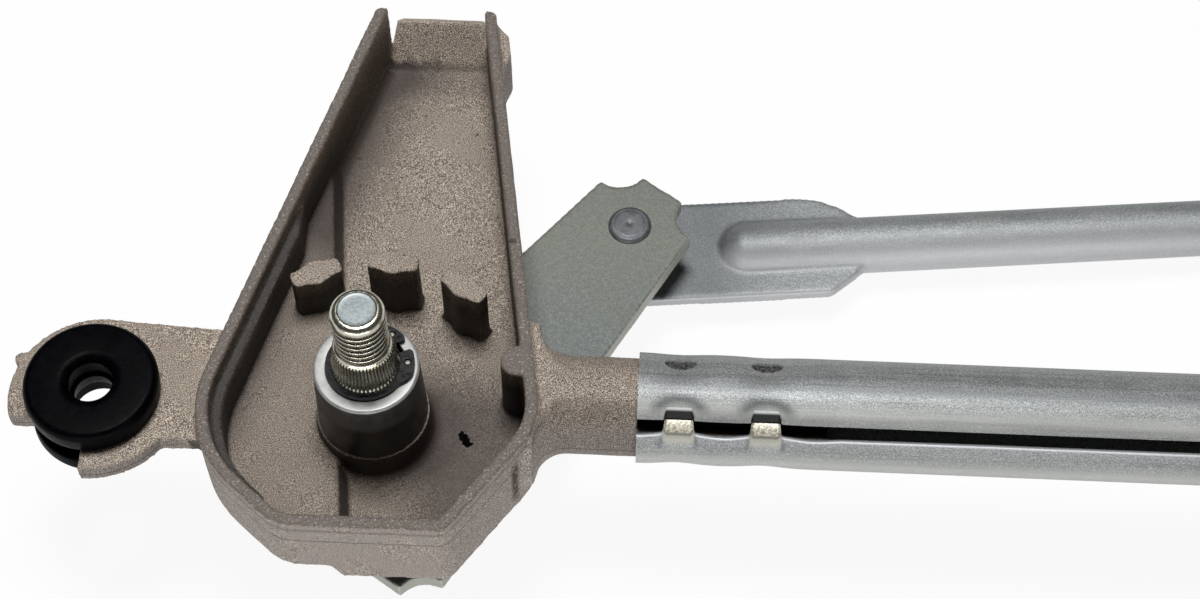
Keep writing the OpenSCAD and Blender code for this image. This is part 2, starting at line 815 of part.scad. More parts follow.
// Links: a round tube flattened into a paddle around each ball socket
module paddle_plan() {
    difference() {
        union() {
            circle(d = paddle_w);
            polygon([
                [0, -paddle_w / 2],
                [flange_l, -paddle_w / 2],
                [paddle_l, -rod_d / 2],
                [paddle_l, rod_d / 2],
                [flange_l, paddle_w / 2],
                [0, paddle_w / 2],
            ]);
        }
        circle(socket_r + seat_gap);
    }
}

module link_rod(length) {
    translate([ridge_start + rod_d / 2, 0, 0]) rotate([0, 90, 0])
        cylinder(d = rod_d, h = length - 2 * ridge_start - rod_d);
    for (end = [0, 1]) translate([end * length, 0, 0]) mirror([end, 0, 0]) {
        translate([ridge_start + rod_d / 2, 0, 0]) sphere(d = rod_d);
        translate([0, 0, -paddle_t / 2]) linear_extrude(paddle_t) paddle_plan();
    }
}

module ball_socket() {
    half_t = paddle_t / 2;
    difference() {
        union() {
            translate([0, 0, -half_t - socket_depth])
                cylinder(r = socket_r, h = paddle_t + socket_depth + socket_top);
            translate([0, 0, half_t + seat_gap])
                cylinder(r = socket_flange_r, h = socket_top - seat_gap);
            translate([0, 0, -half_t - socket_top])
                cylinder(r = socket_flange_r, h = socket_top - seat_gap);
        }
        sphere(cup_r);
        cylinder(r = socket_mouth_r, h = half_t + socket_top + past);
    }
}

module at_tie_ball() {
    translate([ball_1[0], ball_1[1], ball_z]) rotate(link_angle) children();
}

module at_drive_crank() {
    translate([drive_ball[0], drive_ball[1], ball_z]) rotate(link_angle)
        translate([-drive_l, 0, 0]) children();
}

// Tube: two straight legs and a bend, open along one seam, staked at both ends
module tube_ring(swell = 0) {
    difference() {
        circle(tube_r + swell);
        circle(tube_in_r - swell);
    }
}

module seam_gap(swell = 0) {
    rotate(180 - seam_turn) translate([0, -seam_w / 2 + swell]) square([tube_d, seam_w - 2 * swell]);
}

// Ring with its wall pressed in by the staking punches
module staked_ring() {
    difference() {
        union() {
            tube_ring();
            intersection() {
                circle(tube_r - tube_wall / 2);
                at_stakes() circle(stake_r + tube_wall);
            }
        }
        at_stakes() circle(stake_r);
    }
}

module at_stakes() {
    for (turn = [0 : stake_count - 1])
        rotate(180 - seam_turn + turn * 360 / stake_count) translate([stake_axis_r, 0]) children();
}

module seamed(from, to) {
    translate([from, 0, 0]) along_x(to - from) difference() {
        children();
        seam_gap();
    }
}

// Tube leg from its mouth along +X, with two rows of stakes lanced into it
module staked_leg(length) {
    row_1 = stake_start - stake_l / 2;
    row_2 = row_1 + stake_pitch;
    seamed(0, row_1) tube_ring();
    seamed(row_1, row_1 + stake_l) staked_ring();
    seamed(row_1 + stake_l, row_2) tube_ring();
    seamed(row_2, row_2 + stake_l) staked_ring();
    seamed(row_2 + stake_l, length) tube_ring();
}

module tube_bend() {
    translate([0, bend_r, 0]) rotate(-90) rotate_extrude(angle = bend_angle, $fn = 128)
        translate([bend_r, 0]) mirror([1, 0]) difference() {
            tube_ring(bend_swell);
            seam_gap(bend_swell);
        }
}

// Sheet bracket under the tube, with the motor's holes and an ear for a grommet
module bracket_plan() {
    ear_r = fork_r;
    saddle_half = saddle_l / 2;
    motor_r = screw_circle_d / 2 + screw_rim;
    translate([bracket_x, 0]) {
        translate([0, motor_y]) circle(motor_r);
        translate([0, ear_y]) circle(ear_r);
        polygon([
            [-saddle_half, tube_y],
            [-motor_r, motor_y],
            [-ear_r, ear_y],
            [ear_r, ear_y],
            [motor_r, motor_y],
            [saddle_half, tube_y],
        ]);
    }
}

module motor_holes() {
    translate([bracket_x, motor_y]) {
        circle(d = neck_hole_d);
        for (i = [0 : screw_count - 1])
            rotate(90 + i * 360 / screw_count) translate([screw_circle_d / 2, 0])
                circle(d = screw_hole_d, $fn = 32);
    }
    translate([bracket_x, ear_y]) circle(fork_bore_r);
}

// Nodes
module left_housing() { color("gray") housing(); }
module left_grommet() { color("dimgray") fork_grommet(); }
module left_bearing_sleeve() { color("slategray") bearing_sleeve(); }
module left_upper_bush() { color("goldenrod") bush(-seal_space); }
module left_lower_bush() { color("goldenrod") bush(boss_end_z + bush_l); }
module left_shaft_seal() { color("black") shaft_seal(); }
module right_housing() { color("gray") at_right_housing() housing(); }
module right_grommet() { color("dimgray") at_right_housing() fork_grommet(); }
module right_bearing_sleeve() { color("slategray") at_right_spindle() bearing_sleeve(); }
module right_upper_bush() { color("goldenrod") at_right_spindle() bush(-seal_space); }
module right_lower_bush() { color("goldenrod") at_right_spindle() bush(boss_end_z + bush_l); }
module right_shaft_seal() { color("black") at_right_spindle() shaft_seal(); }

module frame_tube() {
    color("lightsteelblue") translate([0, tube_y, -tube_drop]) {
        translate([tube_start, 0, 0]) staked_leg(left_leg + bend_lap);
        translate([tube_start + left_leg, 0, 0]) tube_bend();
    }
    color("lightsteelblue") at_right_housing() translate([tube_start, tube_y, -tube_drop])
        staked_leg(right_leg + bend_lap);
}

module motor_bracket() {
    color("silver") difference() {
        union() {
            translate([bracket_x - saddle_l / 2, tube_y, -tube_drop]) along_x(saddle_l) difference() {
                circle(tube_r + seat_gap + sheet_t);
                circle(tube_r + seat_gap);
                translate([-far, 0]) square(2 * far);
            }
            translate([0, 0, sheet_z]) linear_extrude(sheet_t) bracket_plan();
        }
        translate([bracket_x - saddle_l / 2 - past, tube_y, -tube_drop])
            along_x(saddle_l + 2 * past) circle(tube_r + seat_gap);
        translate([0, 0, sheet_z - past]) linear_extrude(sheet_t + 2 * past) motor_holes();
    }
}

module bracket_grommet() {
    color("dimgray") translate([bracket_x, ear_y, sheet_z + sheet_t / 2]) grommet(sheet_t);
}

module left_pivot_shaft() { color("gainsboro") pivot_shaft(); }
module left_circlip() { color("black") circlip(); }
module left_thrust_washer() { color("silver") thrust_washer(); }
module left_lever() { color("darkseagreen") single_lever(); }
module left_ball_stud() { color("gray") translate(ball_1) ball_stud(); }
module right_pivot_shaft() { color("gainsboro") at_right_spindle() pivot_shaft(); }
module right_circlip() { color("black") at_right_spindle() circlip(); }
module right_thrust_washer() { color("silver") at_right_spindle() thrust_washer(); }
module right_lever() { color("darkseagreen") at_right_spindle() double_lever(); }
module right_tie_ball_stud() { color("gray") translate(ball_2) ball_stud(); }
module right_drive_ball_stud() { color("gray") translate(drive_ball) ball_stud(); }

module tie_link_rod() { color("silver") at_tie_ball() link_rod(spindle_spacing); }
module tie_left_socket() { color("ivory") at_tie_ball() ball_socket(); }
module tie_right_socket() { color("ivory") at_tie_ball() translate([spindle_spacing, 0, 0]) ball_socket(); }
module drive_link_rod() { color("silver") at_drive_crank() link_rod(drive_l); }
module drive_crank_socket() { color("ivory") at_drive_crank() ball_socket(); }
module drive_lever_socket() { color("ivory") at_drive_crank() translate([drive_l, 0, 0]) ball_socket(); }

left_housing();
left_grommet();
left_bearing_sleeve();
left_upper_bush();
left_lower_bush();
left_shaft_seal();
frame_tube();
motor_bracket();
bracket_grommet();
right_housing();
right_grommet();
right_bearing_sleeve();
right_upper_bush();
right_lower_bush();
right_shaft_seal();
left_pivot_shaft();
left_circlip();
left_thrust_washer();
left_lever();
left_ball_stud();
right_pivot_shaft();
right_circlip();
right_thrust_washer();
right_lever();
right_tie_ball_stud();
right_drive_ball_stud();
tie_link_rod();
tie_left_socket();
tie_right_socket();
drive_link_rod();
drive_lever_socket();
drive_crank_socket();
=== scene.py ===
import json
import math
import bmesh
import bpy
import numpy as np
from mathutils import Euler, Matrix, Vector


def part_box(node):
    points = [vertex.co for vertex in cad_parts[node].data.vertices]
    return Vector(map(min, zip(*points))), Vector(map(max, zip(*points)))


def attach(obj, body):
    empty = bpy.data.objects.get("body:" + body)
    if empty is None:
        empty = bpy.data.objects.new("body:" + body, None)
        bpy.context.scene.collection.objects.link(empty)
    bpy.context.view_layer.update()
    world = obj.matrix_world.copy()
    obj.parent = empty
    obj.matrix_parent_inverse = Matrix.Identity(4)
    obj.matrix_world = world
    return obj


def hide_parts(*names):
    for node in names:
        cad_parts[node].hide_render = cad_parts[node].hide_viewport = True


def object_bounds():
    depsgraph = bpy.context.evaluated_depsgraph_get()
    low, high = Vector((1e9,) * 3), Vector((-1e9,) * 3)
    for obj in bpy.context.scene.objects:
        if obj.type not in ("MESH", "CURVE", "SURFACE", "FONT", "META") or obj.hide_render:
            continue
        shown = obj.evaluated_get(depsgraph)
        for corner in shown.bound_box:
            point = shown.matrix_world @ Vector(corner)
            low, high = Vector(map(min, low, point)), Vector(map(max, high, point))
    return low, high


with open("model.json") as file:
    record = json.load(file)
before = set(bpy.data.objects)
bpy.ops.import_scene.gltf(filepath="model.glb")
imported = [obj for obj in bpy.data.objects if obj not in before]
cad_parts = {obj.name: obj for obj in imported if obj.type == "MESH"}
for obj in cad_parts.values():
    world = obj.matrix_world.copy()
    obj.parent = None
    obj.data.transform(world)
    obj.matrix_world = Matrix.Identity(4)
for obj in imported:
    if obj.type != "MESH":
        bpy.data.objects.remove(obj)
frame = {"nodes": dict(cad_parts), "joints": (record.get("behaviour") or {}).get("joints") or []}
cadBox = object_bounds()
nodes = frame["nodes"]
mm = 0.001
fullTurn = 2 * math.pi


# Meshes

def gridFaces(rows, cols):
    # quads between neighbouring rows and columns of a grid, the last column joined to the first
    r, c = np.meshgrid(np.arange(rows - 1), np.arange(cols), indexing="ij")
    nextC = (c + 1) % cols
    quads = np.stack([r * cols + c, r * cols + nextC, (r + 1) * cols + nextC, (r + 1) * cols + c], -1)
    return quads.reshape(-1, 4)


def newPiece(name, mesh):
    piece = bpy.data.objects.new(name, mesh)
    bpy.context.scene.collection.objects.link(piece)
    return piece


def weld(mesh, gap=1e-6):
    # doubled points become one, unless the gap is 0, and the faces of the closed skin all look outwards
    skin = bmesh.new()
    skin.from_mesh(mesh)
    if gap:
        bmesh.ops.remove_doubles(skin, verts=skin.verts, dist=gap)
        bmesh.ops.dissolve_degenerate(skin, edges=skin.edges, dist=gap)
    bmesh.ops.recalc_face_normals(skin, faces=skin.faces)
    skin.to_mesh(mesh)
    skin.free()


def addSurface(name, points, faces, welded=True):
    # points in millimetres
    mesh = bpy.data.meshes.new(name)
    mesh.from_pydata((points.reshape(-1, 3) * mm).tolist(), [], faces.tolist())
    if welded:
        weld(mesh)
    return newPiece(name, mesh)


def revolve(name, path, centre, count, closed=False):
    # each point (r, z) of the path goes round the upright axis: (r cos a, r sin a, z)
    r, z = np.asarray(path, float).T
    if closed:
        r, z = np.append(r, r[0]), np.append(z, z[0])
    a = np.arange(count) * fullTurn / count
    points = np.stack([
        centre[0] + r[:, None] * np.cos(a),
        centre[1] + r[:, None] * np.sin(a),
        np.repeat(z[:, None], count, 1),
    ], -1)
    return addSurface(name, points, gridFaces(len(r), count))


def roundedPath(corners, closed=False, steps=5):
    # each corner (r, z, radius) becomes a quadratic arc between points set back along its two edges
    corners = np.asarray(corners, float)
    spots = corners[:, :2]
    out = []
    for i, radius in enumerate(corners[:, 2]):
        here = spots[i]
        if radius == 0 or (not closed and i in (0, len(corners) - 1)):
            out.append(here[None])
            continue
        before = spots[i - 1] - here
        after = spots[(i + 1) % len(spots)] - here
        back = min(radius, 0.49 * np.linalg.norm(before), 0.49 * np.linalg.norm(after))
        start = here + before / np.linalg.norm(before) * back
        end = here + after / np.linalg.norm(after) * back
        t = np.linspace(0, 1, steps)[:, None]
        out.append((1 - t) ** 2 * start + 2 * t * (1 - t) * here + t ** 2 * end)
    return np.concatenate(out)


def ease(value, start, end):
    # 0 at the start, 1 at the end, held beyond both
    return np.clip((value - start) / (end - start), 0, 1)


def readPoints(mesh):
    flat = np.empty(len(mesh.vertices) * 3)
    mesh.vertices.foreach_get("co", flat)
    return flat.reshape(-1, 3)


def readNormals(mesh):
    flat = np.empty(len(mesh.vertices) * 3)
    mesh.vertices.foreach_get("normal", flat)
    return flat.reshape(-1, 3)


def evaluatedMesh(piece):
    view = bpy.context.evaluated_depsgraph_get()
    return bpy.data.meshes.new_from_object(piece.evaluated_get(view))


tilt = Euler((0.6, 0.4, 0.7)).to_matrix().to_4x4()


def softCopy(node, name, voxel, passes, ripple=0.0, keep=1.0, reshape=None):
    # The CAD shape with an even skin, relaxed so that each edge gets a radius. How far a point
    # moved along its normal is kept as the attribute edge: above 0 on crests, below 0 in corners.
    # The shape is tilted for the even skin, so that no long edge runs almost along its grid.
    mesh = nodes[node].data.copy()
    weld(mesh)
    mesh.transform(tilt)
    piece = newPiece(name, mesh)
    skin = piece.modifiers.new("evenSkin", "REMESH")
    skin.mode = "VOXEL"
    skin.voxel_size = voxel * mm
    bpy.context.view_layer.update()
    plain = evaluatedMesh(piece)
    relax = piece.modifiers.new("relax", "SMOOTH")
    relax.factor = 0.5
    relax.iterations = passes
    bpy.context.view_layer.update()
    soft = evaluatedMesh(piece)
    piece.modifiers.clear()
    for skinMesh in (plain, soft):
        skinMesh.transform(tilt.inverted())
    points, normals = readPoints(soft), readNormals(soft)
    moved = ((readPoints(plain) - points) * normals).sum(1) / mm
    if reshape:
        points = reshape(soft, points / mm) * mm
    if ripple:
        points = points + normals * (ripple * mm * castRipple(points / mm))[:, None]
    soft.vertices.foreach_set("co", points.ravel())
    soft.update()
    addField(soft, "edge", moved)
    piece.data = soft
    bpy.data.meshes.remove(plain)
    if keep < 1:
        thin = piece.modifiers.new("thin", "DECIMATE")
        thin.ratio = keep
        bpy.context.view_layer.update()
        piece.data = evaluatedMesh(piece)
        piece.modifiers.clear()
    return piece


def meltPlan(mesh, points, amount, passes):
    # in plan, points move half way to the mean of their neighbours, by the amount of each;
    # points of upright faces leave out those of level faces, so that a top edge stays crisp
    pairs = np.empty(len(mesh.edges) * 2, np.int32)
    mesh.edges.foreach_get("vertices", pairs)
    a, b = pairs.reshape(-1, 2)[(amount[pairs.reshape(-1, 2)] > 0).any(1)].T
    a, b = np.append(a, b), np.append(b, a)
    level = np.abs(readNormals(mesh)[:, 2]) > 0.85
    used = level[a] | ~level[b]
    a, b = a[used], b[used]
    count = np.maximum(np.bincount(a, minlength=len(points)), 1)
    points = points.copy()
    for step in range(passes):
        for axis in (0, 1):
            line = points[:, axis]
            mean = np.where(count > 1, np.bincount(a, line[b], len(line)) / count, line)
            points[:, axis] = line + 0.5 * amount * (mean - line)
    return points


def addField(mesh, name, values):
    field = mesh.attributes.new(name, "FLOAT", "POINT")
    field.data.foreach_set("value", np.ascontiguousarray(values).ravel())


def castRipple(p):
    # uneven skin of a casting: sines in four crossing directions, wavelengths from 5 to 19 mm
    x, y, z = p.T
    slow = np.sin(0.27 * x + 0.19 * y + 1.3) + np.sin(0.23 * y - 0.31 * z + 0.4)
    quick = np.sin(0.83 * x - 0.61 * y + 0.7 * z) + np.sin(0.55 * x + 1.1 * y + 2.1)
    return 0.35 * slow + 0.2 * quick


def dress(piece, body, finish, replaced, sharpAngle=40):
    piece.data.materials.clear()
    piece.data.materials.append(finish)
    piece.data.shade_smooth()
    piece.data.set_sharp_from_angle(angle=math.radians(sharpAngle))
    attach(piece, body)
    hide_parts(replaced)


# Finishes

def srgb(red, green, blue):
    c = np.array([red, green, blue]) / 255
    linear = np.where(c <= 0.04045, c / 12.92, ((c + 0.055) / 1.055) ** 2.4)
    return tuple(float(v) for v in linear) + (1.0,)


class Signal:
    # a socket of a finish's tree; arithmetic on it adds Math nodes
    def __init__(self, finish, socket):
        self.finish = finish
        self.socket = socket

    def maths(self, operation, first, second):
        return self.finish.add("ShaderNodeMath", {"operation": operation}, [first, second])

    def __add__(self, other):
        return self.maths("ADD", self, other)

    def __radd__(self, other):
        return self.maths("ADD", other, self)

    def __sub__(self, other):
        return self.maths("SUBTRACT", self, other)

    def __rsub__(self, other):
        return self.maths("SUBTRACT", other, self)

    def __mul__(self, other):
        return self.maths("MULTIPLY", self, other)

    def __rmul__(self, other):
        return self.maths("MULTIPLY", other, self)

    def __truediv__(self, other):
        return self.maths("DIVIDE", self, other)

    def __rtruediv__(self, other):
        return self.maths("DIVIDE", other, self)

    def __pow__(self, other):
        return self.maths("POWER", self, other)

    def __rpow__(self, other):
        return self.maths("POWER", other, self)


class Finish:
    # one procedural material: add() makes any node, the other methods are short forms of it
    def __init__(self, name):
        self.material = bpy.data.materials.new(name)
        self.material.use_nodes = True
        self.tree = self.material.node_tree
        self.shader = self.tree.nodes["Principled BSDF"]
        self.place = self.add("ShaderNodeTexCoord", output="Object")

    def put(self, socket, value):
        if isinstance(value, Signal):
            self.tree.links.new(value.socket, socket)
        else:
            socket.default_value = value

    def add(self, kind, settings=None, inputs=None, output=0):
        node = self.tree.nodes.new(kind)
        for key, value in (settings or {}).items():
            setattr(node, key, value)
        pairs = inputs.items() if isinstance(inputs, dict) else enumerate(inputs or [])
        for key, value in pairs:
            self.put(node.inputs[key], value)
        return Signal(self, node.outputs[output])

    def noise(self, size, detail=2.0, rough=0.5, stretch=None, place=None):
        # size of the grain in millimetres, longer along an axis by its stretch
        spot = place or self.place
        if stretch:
            values = {"Vector": spot, "Scale": stretch}
            spot = self.add("ShaderNodeMapping", {"vector_type": "TEXTURE"}, values)
        values = {"Vector": spot, "Scale": 1 / (size * mm), "Detail": detail, "Roughness": rough}
        return self.add("ShaderNodeTexNoise", None, values)

    def size(self, value):
        return self.add("ShaderNodeMath", {"operation": "ABSOLUTE"}, [value])

    def span(self, value, low, high, outLow=0.0, outHigh=1.0):
        # value from low to high becomes outLow to outHigh, held at both ends
        return self.add("ShaderNodeMapRange", None, [value, low, high, outLow, outHigh])

    def mix(self, amount, first, second):
        inputs = {0: amount, 6: first, 7: second}
        return self.add("ShaderNodeMix", {"data_type": "RGBA"}, inputs, output=2)

    def blend(self, value, low, high, first, second):
        return self.mix(self.span(value, low, high), srgb(*first), srgb(*second))

    def layers(self, tone, *rows):
        # each row (value, low, high, most, red, green, blue) lays a colour over the tone: none of it where
        # the value is at low, and most of it at high
        for value, low, high, most, *colour in rows:
            tone = self.mix(self.span(value, low, high, 0.0, most), tone, srgb(*colour))
        return tone

    def attribute(self, name):
        return self.add("ShaderNodeAttribute", {"attribute_name": name}, None, "Fac")

    def axis(self, name):
        return self.add("ShaderNodeSeparateXYZ", None, [self.place], name)

    def bump(self, height, depth, strength):
        # depth in millimetres
        values = {"Strength": strength, "Distance": depth * mm, "Height": height}
        return self.add("ShaderNodeBump", None, values)

    def near(self, spot, low, high):
        # 1 within low of a spot, 0 beyond high, in millimetres
        point = self.add("ShaderNodeCombineXYZ", None, [c * mm for c in spot])
        away = self.add("ShaderNodeVectorMath", {"operation": "DISTANCE"}, [self.place, point], "Value")
        return self.span(away, low * mm, high * mm, 1.0, 0.0)

    def shade(self, **values):
        for key, value in values.items():
            name = "".join(" " + c if c.isupper() else c for c in key).title()
            name = {"Specular": "Specular IOR Level"}.get(name, name)
            self.put(self.shader.inputs[name], value)
        return self.material


# marks of the casting and its parting line, and where a painted shadow line runs under the rim
castMarksAndPaintedShadow = {
    "black": ((16.6, -1.0, -23.5), (17.1, -1.9, -23.5), (17.8, -2.9, -23.5)),
    "pits": ((14.26, 69.4, -23.5), (3.5, 73.7, -23.5), (-9.2, 62.3, -23.5), (24.5, 33.0, -7.0),
             (24.9, 33.0, -7.0)),
    "run": (27.8, -13.4), "runZ": (-27, -23, -13, -10), "spigotX": (28, 30), "seamDepth": 13.6,
    "spigotSeamDepth": 17.2, "underRimDepth": 9.3, "rimZ": (-7.6, -7.2),
}


def castAlloyFinish():
    f = Finish("castAlloy")
    m = castMarksAndPaintedShadow
    x, y, z = f.axis("X"), f.axis("Y"), f.axis("Z")
    sand = f.noise(0.15, 0.0)
    grain = f.noise(0.7, 3.0, 0.6)
    cloud = f.noise(11.0, 3.0)
    edge, soot, dim = f.attribute("edge"), f.attribute("soot"), f.attribute("dim")
    tone = f.blend(cloud, 0.35, 0.68, (127, 114, 103), (141, 128, 116))
    tone = f.layers(
        tone,
        (soot, -0.1, -0.9, 1.0, 138, 131, 131),
        (sand, 0.5, 0.3, 1.0, 52, 43, 38),
        (sand, 0.5, 0.7, 1.0, 226, 211, 192),
        (grain, 0.34, 0.24, 0.8, 52, 42, 38),
        # painted shade in corners
        (edge, -0.04, -0.3, 0.55, 66, 55, 50),
    )
    # parting line of the mould, lower on the spigot, and a shadow line under the rim
    start, end = m["spigotX"]
    level = f.span(x, start * mm, end * mm, m["seamDepth"] * mm, m["spigotSeamDepth"] * mm)
    seam = f.span(f.size(z + level), 0.1 * mm, 0.22 * mm, 0.7, 0.0)
    under = f.span(f.size(z + m["underRimDepth"] * mm), 0.2 * mm, 0.7 * mm, 0.4, 0.0)
    tone = f.mix((seam + under) * f.span(soot, -0.4, -0.9), tone, srgb(58, 51, 49))
    # painted shade on the tray floor and the low sides of arm and spigot, then dark painted shade on upright
    # faces inside the tray, on the lip and on the spigot in the tube
    tone = f.layers(tone, (dim, 0.0, 1.5, 0.93, 62, 53, 49), (soot, 0.15, 0.9, 0.9, 28, 23, 22))
    # painted highlight on crests
    crestHighlight = f.span(edge, 0.04, 0.16) * f.span(f.noise(0.5, 2.0), 0.35, 0.65, 0.1, 0.7)
    tone = f.mix(crestHighlight, tone, srgb(192, 185, 176))
    rim = f.span(z, m["rimZ"][0] * mm, m["rimZ"][1] * mm)
    tone = f.mix(0.8 * rim, tone, srgb(96, 88, 83))
    tone = f.mix(rim * f.span(f.noise(0.5, 2.0), 0.58, 0.7, 0.0, 0.5), tone, srgb(206, 199, 190))
    # a black mark and pits on the tray floor, a nick in the rim, and a brown run down the outer wall
    ragged = f.noise(0.7, 2.0)
    mark = sum(f.near(spot, 0.3, 1.3) for spot in m["black"])
    pits = sum(f.near(spot, 0.1, 0.9) for spot in m["pits"])
    hole = f.span(mark + 1.6 * ragged, 1.3, 1.42)
    tone = f.mix(hole, tone, srgb(9, 8, 8))
    tone = f.mix(f.span(pits + 1.6 * ragged, 1.3, 1.42, 0.0, 0.85), tone, srgb(56, 46, 40))
    fromRun = ((x - m["run"][0] * mm) ** 2 + (y - m["run"][1] * mm) ** 2) ** 0.5
    foot, low, high, top = (height * mm for height in m["runZ"])
    run = f.span(fromRun, 0.5 * mm, 1.3 * mm, 1.0, 0.0) * f.span(z, foot, low) * f.span(z, top, high)
    tone = f.mix(run * f.span(ragged, 0.3, 0.45), tone, srgb(62, 37, 22))
    rough = f.span(grain, 0.3, 0.7, 0.55, 0.75)
    normal = f.bump(sand + 1.4 * grain, 0.12, 0.5)
    metal = f.span(hole, 0.0, 1.0, 0.12, 1.0)
    return f.shade(baseColor=tone, roughness=rough, metallic=metal, normal=normal)


def blackRubberFinish():
    f = Finish("blackRubber")
    bloom = f.noise(3.0, 4.0, 0.6)
    dust = f.noise(0.25, 2.0)
    tone = f.blend(bloom, 0.4, 0.75, (2, 2, 4), (6, 6, 10))
    tone = f.layers(tone, (dust, 0.72, 0.8, 0.5, 70, 70, 74))
    rough = f.span(bloom, 0.3, 0.7, 0.32, 0.5)
    normal = f.bump(bloom + 0.3 * dust, 0.12, 0.6)
    return f.shade(baseColor=tone, roughness=rough, specular=0.03, normal=normal)


def bearingIronFinish():
    f = Finish("bearingIron")
    z = f.axis("Z")
    rings = f.noise(0.35, 2.0, 0.5, (30.0, 30.0, 1.0))
    blotch = f.noise(2.5, 4.0, 0.6)
    tone = f.blend(blotch, 0.35, 0.7, (52, 49, 48), (70, 67, 66))
    tone = f.layers(
        tone,
        # painted shade, darker towards the foot of the side
        (z, -1.5 * mm, -12 * mm, 0.9, 22, 19, 18),
        # painted highlight: a bright line at the shoulder
        (z, -16.15 * mm, -16.3 * mm, 0.8, 190, 182, 172),
    )
    face = f.blend(blotch, 0.35, 0.7, (146, 146, 144), (174, 174, 171))
    tone = f.mix(f.span(z, -0.75 * mm, -0.45 * mm), tone, face)
    rough = f.span(blotch, 0.3, 0.7, 0.34, 0.5)
    return f.shade(baseColor=tone, roughness=rough, metallic=0.45, normal=f.bump(rings, 0.02, 0.6))


def galvanisedTubeFinish():
    f = Finish("galvanisedTube")
    along = f.add("ShaderNodeUVMap", {"uv_map": "length"})
    lines = f.noise(1.1, 3.0, 0.55, (40.0, 1.0, 1.0), along)
    fine = f.noise(0.35, 2.0, 0.5, (60.0, 1.0, 1.0), along)
    bloom = f.noise(9.0, 4.0, 0.6)
    speck = f.noise(0.25, 2.0)
    facet = f.noise(0.45, 3.0, 0.6)
    pocket, tab, moon, halo, band = (f.attribute(key) for key in ("pocket", "tab", "moon", "halo", "band"))
    tone = f.blend(lines, 0.3, 0.7, (118, 121, 122), (156, 159, 158))
    tone = f.layers(
        tone,
        (bloom, 0.4, 0.72, 0.4, 164, 166, 164),
        (speck, 0.5, 0.7, 0.7, 84, 86, 86),
        (speck, 0.48, 0.3, 0.6, 206, 208, 206),
        (fine, 0.62, 0.74, 0.5, 84, 86, 88),
        # painted highlight and painted shade in bands along the tube
        (band, 0.0, 1.0, 0.6, 212, 213, 207),
        (band, 0.0, -1.0, 0.5, 92, 96, 99),
        # painted highlight along the lower lip's edge
        (f.attribute("lip"), 0.2, 0.8, 0.85, 226, 228, 232),
        # painted shade round the dents
        (halo, 0.1, 1.0, 0.6, 58, 62, 66),
        # painted highlight at the pocket's rim and painted shade deep in it
        (pocket, 0.05, 0.2, 0.4, 186, 190, 196),
        (pocket, 0.35, 0.75, 1.0, 12, 11, 13),
    )
    # painted shade in the lanced half moons, with a grain
    moonShade = f.blend(facet, 0.42, 0.6, (42, 42, 41), (106, 106, 103))
    tone = f.mix(f.span(moon, 0.05, 0.35), tone, moonShade)
    bright = f.blend(facet, 0.36, 0.62, (146, 140, 122), (230, 226, 210))
    # painted highlight low on the tab's bulge and painted shade above it; the top facet is bright grainy
    # metal, partly painted highlight
    tone = f.layers(tone, (tab, 0.06, 0.3, 0.7, 206, 203, 190), (tab, 0.5, 0.62, 0.7, 104, 101, 92))
    tone = f.mix(f.span(tab, 0.68, 0.8), tone, bright)
    rough = f.span(lines + 0.6 * bloom, 0.5, 1.1, 0.42, 0.58)
    normal = f.bump(lines + 0.5 * fine + 0.6 * speck, 0.05, 0.5)
    return f.shade(baseColor=tone, roughness=rough, metallic=0.45, normal=normal)


def zincSheetFinish():
    f = Finish("zincSheet")
    streak = f.noise(1.4, 3.0, 0.6, (12.0, 3.0, 1.0))
    bloom = f.noise(7.0, 4.0, 0.6)
    speck = f.noise(0.3, 2.0)
    edge = f.attribute("edge")
    tone = f.blend(streak, 0.3, 0.7, (134, 138, 139), (152, 156, 157))
    tone = f.layers(
        tone,
        (bloom, 0.45, 0.75, 0.5, 158, 160, 157),
        (speck, 0.5, 0.7, 0.5, 92, 94, 94),
        (speck, 0.48, 0.3, 0.5, 198, 200, 198),
        # painted highlight on crests
        (edge, 0.05, 0.25, 0.5, 206, 208, 206),
        # painted shadow of the lever, darker towards low X
        (f.axis("X"), 84 * mm, 64 * mm, 0.6, 88, 92, 96),
        (f.attribute("lit"), 0.1, 0.8, 0.6, 206, 207, 210),
    )
    rough = f.span(bloom + streak, 0.7, 1.3, 0.52, 0.66)
    return f.shade(baseColor=tone, roughness=rough, metallic=0.5, normal=f.bump(streak + speck, 0.05, 0.5))


def blackSpringSteelFinish():
    f = Finish("blackSpringSteel")
    mark = f.noise(0.8, 3.0, 0.6)
    edge = f.attribute("edge")
    tone = f.blend(mark, 0.35, 0.75, (4, 4, 5), (12, 12, 14))
    # painted highlight on the top edges; the eye pits painted pale, as painted light
    tone = f.layers(tone, (edge, 0.02, 0.1, 0.3, 86, 86, 90), (edge, -0.3, -0.6, 1.0, 176, 176, 170))
    rough = f.span(mark, 0.3, 0.7, 0.2, 0.4)
    normal = f.bump(mark, 0.03, 0.5)
    return f.shade(baseColor=tone, roughness=rough, metallic=0.1, specular=0.25, normal=normal)


